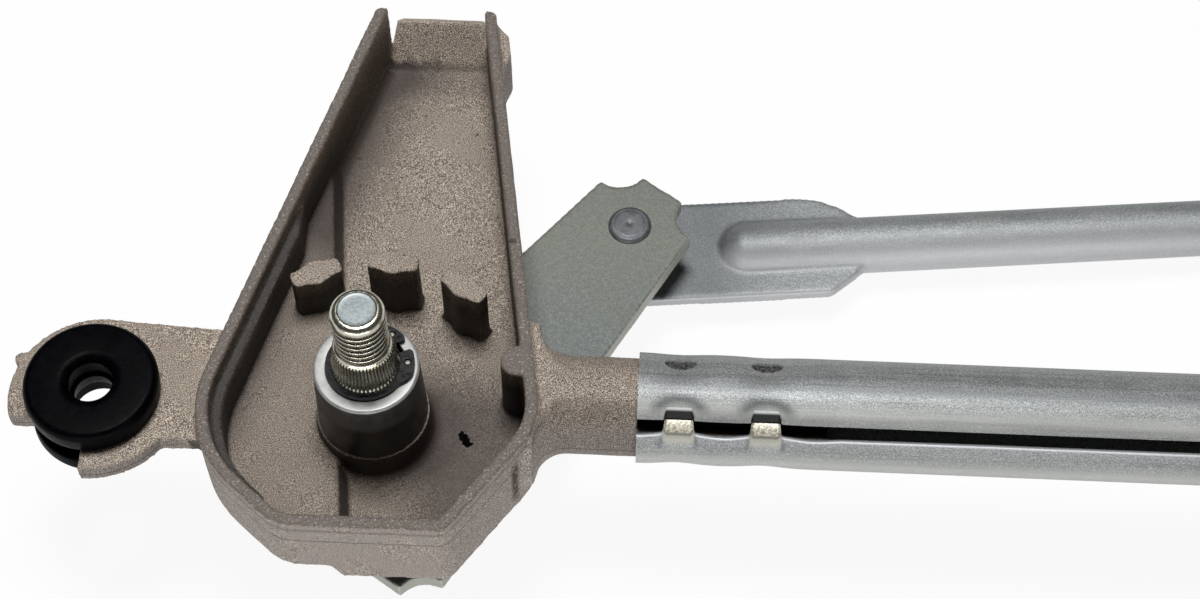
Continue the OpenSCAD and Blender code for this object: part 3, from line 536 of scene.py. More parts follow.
def passivatedLeverFinish():
    f = Finish("passivatedLever")
    bloom = f.noise(8.0, 4.0, 0.6)
    mottle = f.noise(1.0, 3.0, 0.6)
    speck = f.noise(0.3, 2.0)
    edge = f.attribute("edge")
    # painted shade, darker towards low Y
    tone = f.blend(f.axis("Y"), 22 * mm, 52 * mm, (82, 89, 91), (108, 111, 103))
    tone = f.layers(
        tone,
        (bloom, 0.4, 0.7, 0.5, 118, 122, 113),
        (mottle, 0.45, 0.75, 0.4, 132, 135, 124),
        (speck, 0.5, 0.7, 0.4, 70, 74, 72),
        (speck, 0.48, 0.3, 0.25, 156, 159, 150),
        # painted light on the upright sides
        (f.attribute("side"), 0.6, 0.95, 0.8, 178, 178, 168),
        # painted highlight on crests
        (edge, 0.04, 0.16, 0.7, 214, 214, 202),
    )
    rough = f.span(bloom, 0.3, 0.7, 0.42, 0.58)
    normal = f.bump(bloom + 0.5 * mottle, 0.04, 0.5)
    return f.shade(baseColor=tone, roughness=rough, metallic=0.3, normal=normal)


rustSpots = (((5.05, -1.26, 11.6), 0.4, 0.85), ((3.86, -3.48, 10.8), 0.3, 0.75))


def brightSpindleFinish():
    f = Finish("brightSpindle")
    frost = f.noise(0.6, 4.0, 0.65)
    mark = f.noise(2.2, 3.0)
    rust = sum(f.near(*spot) for spot in rustSpots)
    tone = f.blend(mark, 0.3, 0.7, (178, 172, 150), (206, 205, 194))
    tone = f.layers(
        tone,
        (frost, 0.6, 0.8, 0.5, 150, 146, 126),
        # painted shade in the thread's valleys and between the knurl's teeth
        (f.attribute("groove"), 0.35, 0.8, 0.9, 36, 33, 28),
        (f.attribute("knurl"), 0.5, 0.95, 0.75, 62, 62, 74),
    )
    tip = f.blend(frost, 0.35, 0.7, (104, 110, 111), (136, 142, 143))
    flat = f.attribute("tip")
    tone = f.mix(flat, tone, tip)
    tone = f.mix(rust * f.span(frost, 0.3, 0.55), tone, srgb(176, 92, 12))
    rough = f.span(frost, 0.3, 0.7, 0.15, 0.32) + 0.2 * flat
    return f.shade(baseColor=tone, roughness=rough, metallic=0.95, normal=f.bump(frost, 0.03, 0.5))


def mottledFinish(name, light, dark, size, metallic, roughLow, roughHigh, depth):
    # plain stock: two tones in clouds, with a fine grain that also roughens it
    f = Finish(name)
    cloud = f.noise(size, 4.0, 0.6)
    grain = f.noise(size / 8, 2.0)
    tone = f.blend(cloud, 0.35, 0.7, dark, light)
    rough = f.span(grain, 0.3, 0.7, roughLow, roughHigh)
    normal = f.bump(cloud + grain, depth, 0.5)
    return f.shade(baseColor=tone, roughness=rough, metallic=metallic, normal=normal)


castAlloy = castAlloyFinish()
blackRubber = blackRubberFinish()
bearingIron = bearingIronFinish()
galvanisedTube = galvanisedTubeFinish()
zincSheet = zincSheetFinish()
blackSpringSteel = blackSpringSteelFinish()
passivatedLever = passivatedLeverFinish()
brightSpindle = brightSpindleFinish()
sinteredBronze = mottledFinish("sinteredBronze", (196, 150, 92), (150, 106, 60), 1.6, 0.8, 0.35, 0.55, 0.04)
whiteNylon = mottledFinish("whiteNylon", (226, 222, 208), (206, 200, 184), 5.0, 0.0, 0.4, 0.55, 0.04)
plainSteel = mottledFinish("plainSteel", (104, 106, 109), (78, 80, 83), 1.8, 0.4, 0.4, 0.55, 0.04)
print("finishes ready")


# Places, from the joints of the frame, in millimetres

def jointSpot(name):
    found = [j for j in frame["joints"] if j["name"] == name]
    return np.array(found[0]["pos_m"]) / mm


leftSpindle = jointSpot("left_pivot")
rightSpindle = jointSpot("right_pivot")
tieBall = jointSpot("tie_ball_joint")
driveBall = jointSpot("drive_ball_joint")
rightTieBall = rightSpindle + tieBall - leftSpindle
spindles = {"left": leftSpindle, "right": rightSpindle}


def boxCentre(node):
    low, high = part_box(node)
    return np.array(((low + high) / 2)[:]) / mm


leftFork = boxCentre("left_grommet") - leftSpindle
rightFork = boxCentre("right_grommet") - rightSpindle
bendTurn = math.atan2(rightFork[1], rightFork[0]) - math.atan2(leftFork[1], -leftFork[0])


# Housings

housing = {
    "voxel": 0.44, "passes": 5, "ripple": 0.07, "keep": 0.36, "wall": 2.4, "rimZ": -7.0, "tubeX": 50.0,
    "floorZ": -23.5, "bossR": 10.9, "postR": 28.4, "postPasses": 18, "lipZ": -10.5, "rampY": 85.0,
    "stepX": 7.3, "stepTurn": 6.7,
    "corners": ((-35.1, -11.8), (-14.7, -29.4), (16.2, -29.4), (32.4, -6.8), (17.6, 89.0), (-7.0, 89.0)),
}


def trayTurn(side, ways):
    # the right housing is the left one mirrored and turned
    if side == "left":
        return ways
    x, y, z = ways.T
    c, s = math.cos(bendTurn), math.sin(bendTurn)
    return np.stack([-(c * x + s * y), c * y - s * x, z], -1)


def trayPlace(side, points):
    # places counted from the housing's own spindle
    return trayTurn(side, points - spindles[side])


def wallGaps(spots):
    # distance inwards from each side of the tray's outline, the arm side last
    corners = housing["corners"]
    gaps = []
    for a, b in zip(corners, corners[1:] + corners[:1]):
        along = np.subtract(b, a) / np.hypot(*np.subtract(b, a))
        gaps.append((spots[:, 1] - a[1]) * along[0] - (spots[:, 0] - a[0]) * along[1])
    return np.array(gaps)


def meltPosts(side):
    # the posts' sides get rounder in plan, from a little above the tray floor
    def reshape(mesh, points):
        h = housing
        spots = trayPlace(side, points)
        x, y, z = spots.T
        onPost = (np.abs(np.hypot(x, y) - h["postR"]) < 7) & (y > 14) & (wallGaps(spots).min(0) > 3.5)
        return meltPlan(mesh, points, onPost * np.clip(z - h["floorZ"] - 0.8, 0, 1), h["postPasses"])
    return reshape


# how much painted shade the tray floor gets next to each of its neighbours, how far that reaches and where it
# lies, and the painted shade on low sides of arm and spigot
trayShade = {
    "wall": 0.45, "wallReach": 6.0, "arm": 0.8, "armReach": 5.5, "armBack": 0.4, "armBackReach": 4.0,
    "armBackY": (30, 50), "step": 0.7, "stepReach": 3.0, "stepH": 3.0, "stepY": (26, 34), "bossLit": 0.15,
    "bossUnlit": 0.9, "bossReach": 5.0, "front": 0.35, "frontY": (44, 10), "tubeSide": 0.7,
    "tubeSideX": (4, 12), "tubeSideY": (16, 4), "ramp": 0.5, "rampReach": 4.0, "most": 1.5, "floorH": 5.5,
    "lowFront": 0.6, "lowBack": 0.5, "lowSpigot": 0.15, "lowX": (31, 35),
}


def addShade(piece, side):
    # On upright faces and the lip inside the tray and on the spigot in the tube, painted shade, up to 1; down
    # to -1 on upright outer faces, for their own tone. Then the floor's painted shades, each falling with
    # distance, taken with painted shade on the low sides of arm and spigot
    h, d = housing, trayShade
    mesh = piece.data
    spots = trayPlace(side, readPoints(mesh) / mm)
    x, y, z = spots.T
    face, rise = trayTurn(side, readNormals(mesh)).T[1:]
    upright = ease(np.abs(rise), 0.75, 0.4)
    gaps = wallGaps(spots)
    gap, armGap = gaps.min(0), gaps[-1]
    depth = ease(z, h["rimZ"] - 0.4, h["rimZ"] - 7.4) ** 0.7
    fade = np.maximum(ease(y, 110, 50), 0.55)
    middle = h["wall"] / 2
    inner = ease(gap, middle, middle + 0.6) * upright * depth * fade
    outer = ease(gap, middle, middle - 0.6) * upright
    hidden = ease(x, h["tubeX"], h["tubeX"] + 0.3)
    onLip = (rise > 0.4) * (np.abs(z - h["lipZ"]) < 0.7) * (gap > h["wall"] - 0.2) * (x < 0)
    # painted shade inside the tray, on the lip and on the spigot in the tube; below 0 marks upright outer
    # faces for their own tone
    addField(mesh, "soot", np.maximum(np.maximum(inner, onLip) - outer, 2 * hidden - 1))
    onFloor = ease(rise, 0.3, 0.5) * (gap > h["wall"]) * (z < h["floorZ"] + d["floorH"])
    back = ease(y, *d["armBackY"])
    total = d["wall"] * np.exp(-(gap - h["wall"]) / d["wallReach"])
    armReach = d["armReach"] + d["armBackReach"] * back
    total = total + (d["arm"] + d["armBack"] * back) * np.exp(-((armGap - h["wall"]) / armReach) ** 2)
    fromStep = x + h["stepX"] + y * math.tan(math.radians(h["stepTurn"]))
    raised = (z > h["floorZ"] + d["stepH"]) * ease(y, *d["stepY"])
    total = total + d["step"] * raised * np.exp(-(fromStep / d["stepReach"]) ** 2)
    unlit = 0.5 + 0.5 * np.cos(np.arctan2(y, x) - 0.1)
    fromBoss = np.hypot(x, y) - h["bossR"]
    total = total + (d["bossLit"] + d["bossUnlit"] * unlit) * np.exp(-fromBoss / d["bossReach"])
    total = total + d["front"] * ease(y, *d["frontY"])
    total = total + d["tubeSide"] * ease(x, *d["tubeSideX"]) * ease(y, *d["tubeSideY"])
    total = total + d["ramp"] * np.exp(-((y - h["rampY"] + 3) / d["rampReach"]) ** 2)
    low = np.maximum(d["lowFront"] * ease(face, 0.2, -0.6), d["lowBack"] * ease(face, 0.3, 0.7))
    low = low * ease(np.abs(x), *d["lowX"]) * (rise < 0.93) + d["lowSpigot"] * ease(x, *d["lowX"])
    addField(mesh, "dim", np.clip(np.maximum(onFloor * total, low), 0, d["most"]))


for side in ("left", "right"):
    piece = softCopy(side + "_housing", side + "CastHousing", housing["voxel"], housing["passes"],
                     housing["ripple"], housing["keep"], meltPosts(side))
    addShade(piece, side)
    dress(piece, "frame", castAlloy, side + "_housing", 60)
    print(side, "housing:", len(piece.data.polygons), "faces")


# Bearing sleeves

sleeve = {"boreR": 7.47, "topR": 9.82, "footR": 10.42, "seatR": 8.97, "shoulderZ": -16.4, "endZ": -35.0}


def addSleeve(side, spindle):
    s = sleeve
    loop = roundedPath([
        (s["boreR"], 0, 0.25), (s["topR"], 0, 0.55), (s["footR"], s["shoulderZ"], 0.25),
        (s["seatR"], s["shoulderZ"], 0.1), (s["seatR"], s["endZ"], 0.2), (s["boreR"], s["endZ"], 0.2),
    ], closed=True)
    piece = revolve(side + "BearingSleeve", loop, spindle, 128, closed=True)
    dress(piece, "frame", bearingIron, side + "_bearing_sleeve", 30)


for side, spindle in spindles.items():
    addSleeve(side, spindle)


# Spindles: thread, arm knurl, clip groove and riveted foot

spindleSize = {
    "tipZ": 20.0, "tipRound": 1.7, "lipR": 3.75, "threadR": 5.0, "threadLow": 9.4, "threadHigh": 18.4,
    "pitch": 1.5, "threadDepth": 0.46, "collarZ": 8.5, "knurlTop": 8.1, "knurlTopR": 5.6,
    "knurlFootZ": 1.32, "journalR": 6.4, "grooveR": 6.1, "grooveLow": 0.13, "grooveHigh": 1.17,
    "leverTop": -36.1, "leverFoot": -40.1, "spigotR": 5.0, "footR": 7.5, "footZ": -41.9,
    "teeth": 54, "toothDepth": 0.28, "stepsPerTooth": 6,
}


def addSpindle(side, spindle, body):
    # r(z, a) = turned profile - thread depth in a helix of z / pitch - a / turn
    # - tooth depth in a triangle wave of a
    s = spindleSize
    small = 0.02
    turned = np.array([
        (s["footZ"], 6.4), (s["footZ"] + 0.35, 7.1), (s["footZ"] + 0.9, s["footR"]),
        (s["leverFoot"] - small, s["footR"]), (s["leverFoot"], s["spigotR"]),
        (s["leverTop"] - small, s["spigotR"]), (s["leverTop"], s["journalR"]),
        (s["grooveLow"] - small, s["journalR"]), (s["grooveLow"], s["grooveR"]),
        (s["grooveHigh"], s["grooveR"]), (s["grooveHigh"] + small, s["journalR"] - 0.1),
        (s["knurlFootZ"], s["journalR"]), (s["knurlTop"] - 0.5, s["knurlTopR"]),
        (s["knurlTop"], s["knurlTopR"] - 0.28), (s["collarZ"], s["threadR"] + 0.05),
        (s["threadLow"], s["threadR"]), (s["tipZ"] - s["tipRound"], s["threadR"]),
    ])
    rowsZ = np.unique(np.concatenate([
        turned[:, 0],
        np.linspace(s["grooveHigh"], s["collarZ"], 34),
        np.linspace(s["collarZ"], s["tipZ"] - s["tipRound"], 100),
    ]))
    bend = np.linspace(0, math.pi / 2, 9)[1:]
    tipR = s["threadR"] - (s["threadR"] - s["lipR"]) * (1 - np.cos(bend))
    z = np.concatenate([[s["footZ"], s["footZ"]], rowsZ, s["tipZ"] - s["tipRound"] * (1 - np.sin(bend))])
    r = np.concatenate([[0, 3.2], np.interp(rowsZ, turned[:, 0], turned[:, 1]), tipR])
    z = np.concatenate([z, s["tipZ"] - np.array([0.0, 0.1, 0.14, 0.14, 0.12, 0.12])])
    r = np.concatenate([r, s["lipR"] - np.array([0.12, 0.26, 0.5, 1.2, 2.4, s["lipR"]])])
    count = s["teeth"] * s["stepsPerTooth"]
    a = np.arange(count) * fullTurn / count
    zz, aa = np.meshgrid(z, a, indexing="ij")
    phase = zz / s["pitch"] - aa / fullTurn
    groove = (0.5 + 0.5 * np.cos(fullTurn * phase)) ** 2.6
    threadIn, threadOut = s["threadLow"], s["threadHigh"]
    inThread = ease(zz, threadIn, threadIn + 0.8) * ease(zz, threadOut, threadOut - 0.5)
    tooth = 1 - np.abs(2 * ((aa * s["teeth"] / fullTurn) % 1) - 1)
    knurlIn, knurlOut = s["knurlFootZ"], s["knurlTop"] - 0.1
    inKnurl = ease(zz, knurlIn, knurlIn + 0.7) * ease(zz, knurlOut, knurlOut - 0.5)
    rr = r[:, None] - s["threadDepth"] * groove * inThread - s["toothDepth"] * tooth * inKnurl
    points = np.stack([spindle[0] + rr * np.cos(aa), spindle[1] + rr * np.sin(aa), zz], -1)
    piece = addSurface(side + "Spindle", points, gridFaces(len(z), count), welded=False)
    # groove and knurl mark the valleys for painted shade in the finish
    addField(piece.data, "groove", groove * inThread)
    addField(piece.data, "knurl", tooth * inKnurl)
    addField(piece.data, "tip", (zz > s["tipZ"] - 0.2) & (rr < s["lipR"] - 0.2))
    weld(piece.data)
    dress(piece, body, brightSpindle, side + "_pivot_shaft", 32)


for side, spindle in spindles.items():
    addSpindle(side, spindle, side + "_crank")
print("spindles and sleeves done")


# Retaining clips: a band that widens into two eyed lugs beside a parallel gap

clip = {"innerR": 6.15, "bandR": 7.45, "lugR": 9.0, "lugTurn": 34.0, "taperTurn": 30.0, "gapHalf": 1.1,
        "gapTurn": 31.0, "eyeR": 7.7, "eyeTurn": 26.0, "eyeSize": 0.5, "eyeDepth": 0.7, "edge": 0.12}


def addClip(side, spindle, body):
    # outer radius: lugR next to the gap, falling to bandR as a half cosine; the eyes are pits in the top face
    c = clip
    low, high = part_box(side + "_circlip")
    foot, top = low.z / mm, high.z / mm
    lugPart = np.linspace(0, 0.26, 90)
    part = np.concatenate([lugPart, np.linspace(0.27, 0.73, 60), 1 - lugPart[::-1]])[:, None]
    turn = 360 * np.minimum(part, 1 - part)
    fall = np.clip((turn - c["lugTurn"]) / c["taperTurn"], 0, 1)
    outR = c["bandR"] + (c["lugR"] - c["bandR"]) * (0.5 + 0.5 * np.cos(math.pi * fall))
    outR = outR - 0.5 * np.clip(1 - turn / 7, 0, 1) ** 2
    e = c["edge"]
    across = np.linspace(0, 1, 26)
    r = np.concatenate([np.repeat([[c["innerR"]]], len(part), 0), outR, outR, (outR - e) * (1 - across)
                        + (c["innerR"] + e) * across, np.repeat([[c["innerR"]]], len(part), 0)], 1)
    z = np.concatenate([[foot, foot, top - e], np.full(26, top), [top - e]])[None, :] + 0 * r
    start = np.arcsin(c["gapHalf"] / r)
    a = start + part * (fullTurn - 2 * start)
    eyeTurn = math.radians(c["eyeTurn"])
    eyeX, eyeY = c["eyeR"] * math.cos(eyeTurn), c["eyeR"] * math.sin(eyeTurn)
    eye = np.minimum(*(np.hypot(r * np.cos(a) - eyeX, r * np.sin(a) - sign * eyeY) for sign in (1, -1)))
    pit = np.exp(-(eye / c["eyeSize"]) ** 6) * (z > top - e / 2)
    z = z - c["eyeDepth"] * pit
    a = a + math.radians(c["gapTurn"])
    points = np.stack([spindle[0] + r * np.cos(a), spindle[1] + r * np.sin(a), z], -1)
    rows, cols = r.shape
    ends = np.array([np.arange(cols), np.arange(cols)[::-1] + (rows - 1) * cols])
    mesh = bpy.data.meshes.new(side + "RetainingClip")
    faces = gridFaces(rows, cols).tolist() + ends.tolist()
    mesh.from_pydata((points.reshape(-1, 3) * mm).tolist(), [], faces)
    # the top face's edges and the eye pits are marked for painted highlights in the finish
    brink = np.isin(np.arange(cols), (2, 3, cols - 2, cols - 1))[None, :] * 0.1 + 0 * r
    addField(mesh, "edge", np.where(pit > 0.4, -pit, brink))
    weld(mesh)
    piece = newPiece(side + "RetainingClip", mesh)
    dress(piece, body, blackSpringSteel, side + "_circlip")


for side, spindle in spindles.items():
    addClip(side, spindle, side + "_crank")


# Levers keep the CAD outline, with rounded edges

leverSize = {"voxel": 0.34, "passes": 9, "keep": 0.45}
for side in ("left", "right"):
    lever = softCopy(side + "_lever", side + "PlateLever", leverSize["voxel"], leverSize["passes"],
                     keep=leverSize["keep"])
    # side: how upright each face is, for painted light on the sides
    addField(lever.data, "side", 1 - readNormals(lever.data)[:, 2] ** 2)
    dress(lever, side + "_crank", passivatedLever, side + "_lever", 50)


# Ball studs: domed rivet head, shank, collar, neck and ball

stud = {"headR": 4.5, "headH": 1.0, "shankR": 3.5, "collarR": 6.0, "collarT": 1.5, "neckR": 3.0,
        "ballR": 5.5, "leverTop": -36.1, "leverFoot": -40.1, "ballZ": -48.1}


def addStud(name, spot, body, replaced):
    # head: height falls with the eighth power of the radius, less a dimple and a ring; the ball is an arc
    s = stud
    reach = np.linspace(0, 0.998, 48)
    dimple, ring = np.exp(-(reach / 0.13) ** 2), np.exp(-((reach - 0.74) / 0.05) ** 2)
    bulge = (1 - reach ** 8) ** 0.5 - 0.2 * dimple - 0.05 * ring
    dome = np.stack([s["headR"] * reach, s["leverTop"] + s["headH"] * bulge], -1)
    steps = roundedPath([
        (s["headR"], s["leverTop"], 0), (s["shankR"], s["leverTop"], 0), (s["shankR"], s["leverFoot"], 0),
        (s["collarR"], s["leverFoot"], 0.2), (s["collarR"], s["leverFoot"] - s["collarT"], 0.4),
        (s["neckR"], s["leverFoot"] - s["collarT"], 0.6), (s["neckR"], s["ballZ"] + 5, 0),
    ])
    fall = np.linspace(math.acos(s["neckR"] / s["ballR"]), -math.pi / 2, 24)
    ball = np.stack([s["ballR"] * np.cos(fall), s["ballZ"] + s["ballR"] * np.sin(fall)], -1)
    piece = revolve(name, np.concatenate([dome, steps, ball]), spot, 64)
    dress(piece, body, plainSteel, replaced)


addStud("leftBallStud", tieBall, "left_crank", "left_ball_stud")
addStud("rightTieBallStud", rightTieBall, "right_crank", "right_tie_ball_stud")
addStud("rightDriveBallStud", driveBall, "right_crank", "right_drive_ball_stud")
print("clips, levers and studs done")


# Frame tube: an open section carried along two legs and a bend, with stakes lanced into both ends

tube = {
    "outR": 10.5, "wall": 1.15, "axisY": 3.0, "axisZ": -17.0, "mouthX": 50.0, "bendX": 300.0, "bendR": 80.0,
    "seamTurn": 138.5, "seamW": 2.7, "stakeRows": (7.8, 24.0), "stakeL": 5.6, "punchDepth": 2.0,
    "lowReach": 5.0, "highReach": 3.9, "moonReach": 1.9, "moonDepth": 1.2, "moonTurn": 11.0, "bow": 0.5,
    "bowL": 4.4, "bowRows": (0.0, 15.9, 33.0), "tabGap": 0.35, "shear": 0.3, "haloMid": 2.2,
    "dip": 0.75, "dipLength": 4.2, "dipTurn": 30.0, "haloGap": 1.7, "stakedTo": 36.0, "stakes": 4,
    "paintedLightBands": ((341.0, 9.0, 1.0), (312.0, 12.0, -0.8), (16.0, 7.0, -0.5), (48.0, 16.0, 0.9)),
}


def tubePath():
    # left leg along X, an arc about (bend start, axisY + bendR), right leg towards the right spindle
    t = tube
    span = np.linalg.norm(rightSpindle[:2] - np.array([t["bendX"], t["axisY"]]))
    turn = bendTurn
    cut = t["bendR"] * math.tan(turn / 2)
    leftL = t["bendX"] - cut - t["mouthX"]
    rightL = math.sqrt(span ** 2 - t["axisY"] ** 2) - cut - t["mouthX"]
    return turn, leftL, t["bendR"] * turn, rightL


def addTube():
    t = tube
    turn, leftL, bendL, rightL = tubePath()
    total = leftL + bendL + rightL
    half = t["stakeL"] / 2
    fine = np.concatenate([row + np.linspace(-half - 0.9, half + 0.9, 29) for row in t["stakeRows"]])
    end = np.unique(np.concatenate([[0, 0.15, 0.5], np.arange(1, t["stakedTo"], 1.0), fine]))
    plainFrom = t["stakedTo"] + 2
    left, right = np.linspace(plainFrom, leftL, 8), np.linspace(leftL + bendL, total - plainFrom, 10)
    s = np.concatenate([end, left, leftL + bendL * np.arange(1, 18) / 18, right, (total - end)[::-1]])

    # angles round the section, closer together at the stakes
    quarter = 360 / t["stakes"]
    offset = np.unique(np.concatenate([np.arange(0, quarter / 2, 5.0), np.arange(0, 30, 1.8)]))
    around = np.unique(np.concatenate([k * quarter + sign * offset for k in range(5) for sign in (-1, 1)]))
    around = around[(around >= 0) & (around <= 360)]
    part = (around / 360)[None, :]

    # the seam's lower lip bows down between the stakes and reaches across the seam at each stake
    fromEnd = np.minimum(s, total - s)[:, None]
    bow = sum(np.exp(-((fromEnd - row) / t["bowL"]) ** 2) for row in t["bowRows"])
    bow = bow * (fromEnd < t["stakedTo"] + 6)
    away = np.min([np.abs(fromEnd - row) for row in t["stakeRows"]], 0)
    onStake = np.clip((half + t["shear"] / 2 - away) / t["shear"], 0, 1)

    def ring(radius):
        plain = np.degrees(np.arcsin(t["seamW"] / 2 / radius))
        shift = t["bow"] * bow * (1 - onStake) - (t["seamW"] - t["tabGap"]) * onStake
        moved = np.degrees(shift / radius) * np.clip(1 - part * 6, 0, 1)
        return plain + part * (360 - 2 * plain) + moved

    def pressedIn(a):
        # At the seam a punch presses both lips. Upper lip: depth (1 - v^2) with v the arc over its reach.
        # Lower lip: depth (1 - v)^1.6, with sides that get softer with v. The other stakes are lanced half
        # moons, deepest at their round edge: depth rises with the arc inside an ellipse. Each stake lies in
        # a wide smooth dent.
        fields = {key: 0 * a for key in ("pocket", "tab", "moon", "halo")}
        # bands of painted highlight and painted shade along the tube, each at an angle round it
        fields["band"] = sum(size * np.exp(-((a - mid) / wide) ** 2) for mid, wide, size in t["paintedLightBands"])
        # a painted highlight along the lower lip's edge, between the stakes
        fields["lip"] = np.exp(-(np.radians(a - a[:, :1]) * t["outR"] / 0.35) ** 2) * (1 - onStake)
        dent = 0 * a
        for k in range(t["stakes"] + 1):
            off = a - k * quarter - (t["moonTurn"] if k == 3 else 0)
            arc = np.radians(off) * t["outR"]
            near = np.abs(off) < quarter / 2
            shear = t["shear"] + 0 * arc
            if k == t["stakes"]:
                key, v = "pocket", np.clip(-arc / t["highReach"], 0, 1)
                bite, width = t["punchDepth"] * (1 - v ** 2), half * np.sqrt(1 - 0.3 * v ** 2)
                # painted shade in a ring round the pocket's dent
                haloH = t["highReach"] - t["haloMid"] + t["haloGap"]
                oval = np.hypot(away / (half + t["haloGap"]), (arc + t["haloMid"]) / haloH)
                fields["halo"] += near * np.exp(-((oval - 1) / 0.3) ** 2) * np.clip((-arc - 2) / 2, 0, 1)
            elif k == 0:
                key, v = "tab", np.clip((arc + t["seamW"] / 2) / (t["lowReach"] + t["seamW"] / 2), 0, 1)
                bite, width = t["punchDepth"] * (1 - v) ** 1.6, half + 0 * v
                shear = t["shear"] * (1 + 5 * v)
                # painted shade beside the tab
                beside = np.exp(-((away - half - 0.5) / 0.6) ** 2) * np.exp(-((arc - 3.6) / 1.4) ** 2)
                fields["halo"] += 0.8 * near * beside
            else:
                key, v = "moon", np.clip(arc / t["moonReach"], -1, 1)
                bite, width = t["moonDepth"] * (1 + v) / 2, half * 1.15 * np.sqrt(1 - v ** 2) - t["shear"]
            bite = near * bite * np.clip((width + shear / 2 - away) / shear, 0, 1)
            fields[key] = np.maximum(fields[key], bite)
            dent = dent + t["dip"] * np.exp(-(off / t["dipTurn"]) ** 2 - (away / t["dipLength"]) ** 2)
        depth = np.maximum(np.maximum(fields["pocket"], fields["tab"]), fields["moon"])
        return depth + dent * (1 - 0.5 * np.clip(depth, 0, 1)), fields

    heading = np.clip((s - leftL) / bendL, 0, 1) * turn
    onLeft, onRight = np.minimum(s, leftL), np.maximum(s - leftL - bendL, 0)
    x = t["mouthX"] + onLeft + t["bendR"] * np.sin(heading) + onRight * math.cos(turn)
    y = t["axisY"] + t["bendR"] * (1 - np.cos(heading)) + onRight * math.sin(turn)

    def wall(radius):
        a = ring(radius)
        press, fields = pressedIn(a)
        r = radius - press
        way = np.radians(a + t["seamTurn"])
        side = r * np.cos(way)
        points = np.stack([
            x[:, None] - side * np.sin(heading)[:, None],
            y[:, None] + side * np.cos(heading)[:, None],
            t["axisZ"] + r * np.sin(way),
        ], -1)
        return points, fields, a

    outer, fields, angle = wall(t["outR"])
    inner = wall(t["outR"] - t["wall"])[0]
    points = np.concatenate([outer, inner[:, ::-1]], 1)
    rows, cols = points.shape[:2]
    faces = gridFaces(rows, cols)
    c = np.arange(cols // 2 - 1)
    mouth = np.stack([c, cols - 1 - c, cols - 2 - c, c + 1], -1)
    faces = np.concatenate([faces, mouth, mouth[:, ::-1] + (rows - 1) * cols])
    piece = addSurface("slottedTube", points, faces, welded=False)
    mesh = piece.data
    weld(mesh, 0)
    # length along the tube and round it, in metres, for the drawn lines
    around = np.concatenate([angle, angle[:, ::-1] + 400], 1) / 360 * fullTurn * t["outR"]
    spread = np.stack([np.repeat(s[:, None], cols, 1), around], -1).reshape(-1, 2) * mm
    loops = np.empty(len(mesh.loops), np.int32)
    mesh.loops.foreach_get("vertex_index", loops)
    mesh.uv_layers.new(name="length").data.foreach_set("uv", spread[loops].ravel())
    for key, field in fields.items():
        addField(mesh, key, np.concatenate([field, 0 * field], 1))
    dress(piece, "frame", galvanisedTube, "frame_tube", 34)
    print("tube:", len(mesh.polygons), "faces")


addTube()


# Links and motor bracket

linkEnd = {"flangeL": 42.0, "paddleL": 50.0, "halfW": 12.0, "rodR": 6.0, "back": 8.0, "ahead": 4.5}


def roundFlange(start, end):
    # the flange edge on the back side follows a quadratic arc past its corner, at both ends of the link
    def reshape(mesh, points):
        e = linkEnd
        along = (end - start)[:2] / np.linalg.norm((end - start)[:2])
        flat = points[:, :2] - start[:2]
        u, v = flat @ along, flat @ np.array([-along[1], along[0]])
        fromBall = np.minimum(u, np.linalg.norm((end - start)[:2]) - u)
        slope = (e["halfW"] - e["rodR"]) / (e["paddleL"] - e["flangeL"])
        t = np.linspace(0, 1, 30)
        arcU = e["flangeL"] - e["back"] * (1 - t) ** 2 + e["ahead"] * t ** 2
        arcW = e["halfW"] - slope * e["ahead"] * t ** 2
        old = np.interp(fromBall, [e["flangeL"], e["paddleL"]], [e["halfW"], e["rodR"]])
        new = np.interp(fromBall, np.append(arcU, e["paddleL"]), np.append(arcW, e["rodR"]))
        share = np.clip((v - e["rodR"]) / np.maximum(old - e["rodR"], 0.2), 0, 1.05)
        cut = share * (old - new) * (fromBall > 5)
        return points - cut[:, None] * np.array([-along[1], along[0], 0.0])
    return reshape


crankSpot = np.append(boxCentre("drive_crank_socket")[:2], driveBall[2])
pressings = (
    ("tie_link_rod", "tieLinkRod", "tie_link", 0.5, 12, 0.5, roundFlange(tieBall, rightTieBall)),
    ("drive_link_rod", "driveLinkRod", "drive_link", 0.5, 12, 0.5, roundFlange(driveBall, crankSpot)),
    ("motor_bracket", "motorBracket", "frame", 0.6, 6, 0.9, None),
)
for node, name, body, voxel, passes, keep, reshape in pressings:
    piece = softCopy(node, name, voxel, passes, 0.0, keep, reshape)
    addField(piece.data, "lit", -readNormals(piece.data)[:, 1])
    dress(piece, body, zincSheet, node, 50)
    print(name, len(piece.data.polygons), "faces")


# Ball sockets: a cup round the ball with a flange on each face of the link

socket = {"cupR": 5.55, "wallR": 7.55, "flangeR": 9.35, "topZ": 3.5, "flangeLow": 1.52, "lowTop": -1.52,
          "lowFoot": -3.5, "footZ": -7.5}


def addSocket(name, spot, body, replaced):
    s = socket
    mouth = math.asin(s["topZ"] / s["cupR"])
    rise = np.linspace(-math.pi / 2, mouth, 20)
    cup = s["cupR"] * np.stack([np.cos(rise), np.sin(rise)], -1)
    outside = roundedPath([
        (cup[-1, 0], s["topZ"], 0), (s["flangeR"], s["topZ"], 0.7), (s["flangeR"], s["flangeLow"], 0.3),
        (s["wallR"], s["flangeLow"], 0), (s["wallR"], s["lowTop"], 0), (s["flangeR"], s["lowTop"], 0.3),
        (s["flangeR"], s["lowFoot"], 0.6), (s["wallR"], s["lowFoot"], 0.4),
        (s["wallR"] - 0.3, s["footZ"], 1.2), (0, s["footZ"], 0),
    ])
    path = np.concatenate([cup, outside]) + [0, spot[2]]
    piece = revolve(name, path, spot, 72)
    dress(piece, body, whiteNylon, replaced, 35)


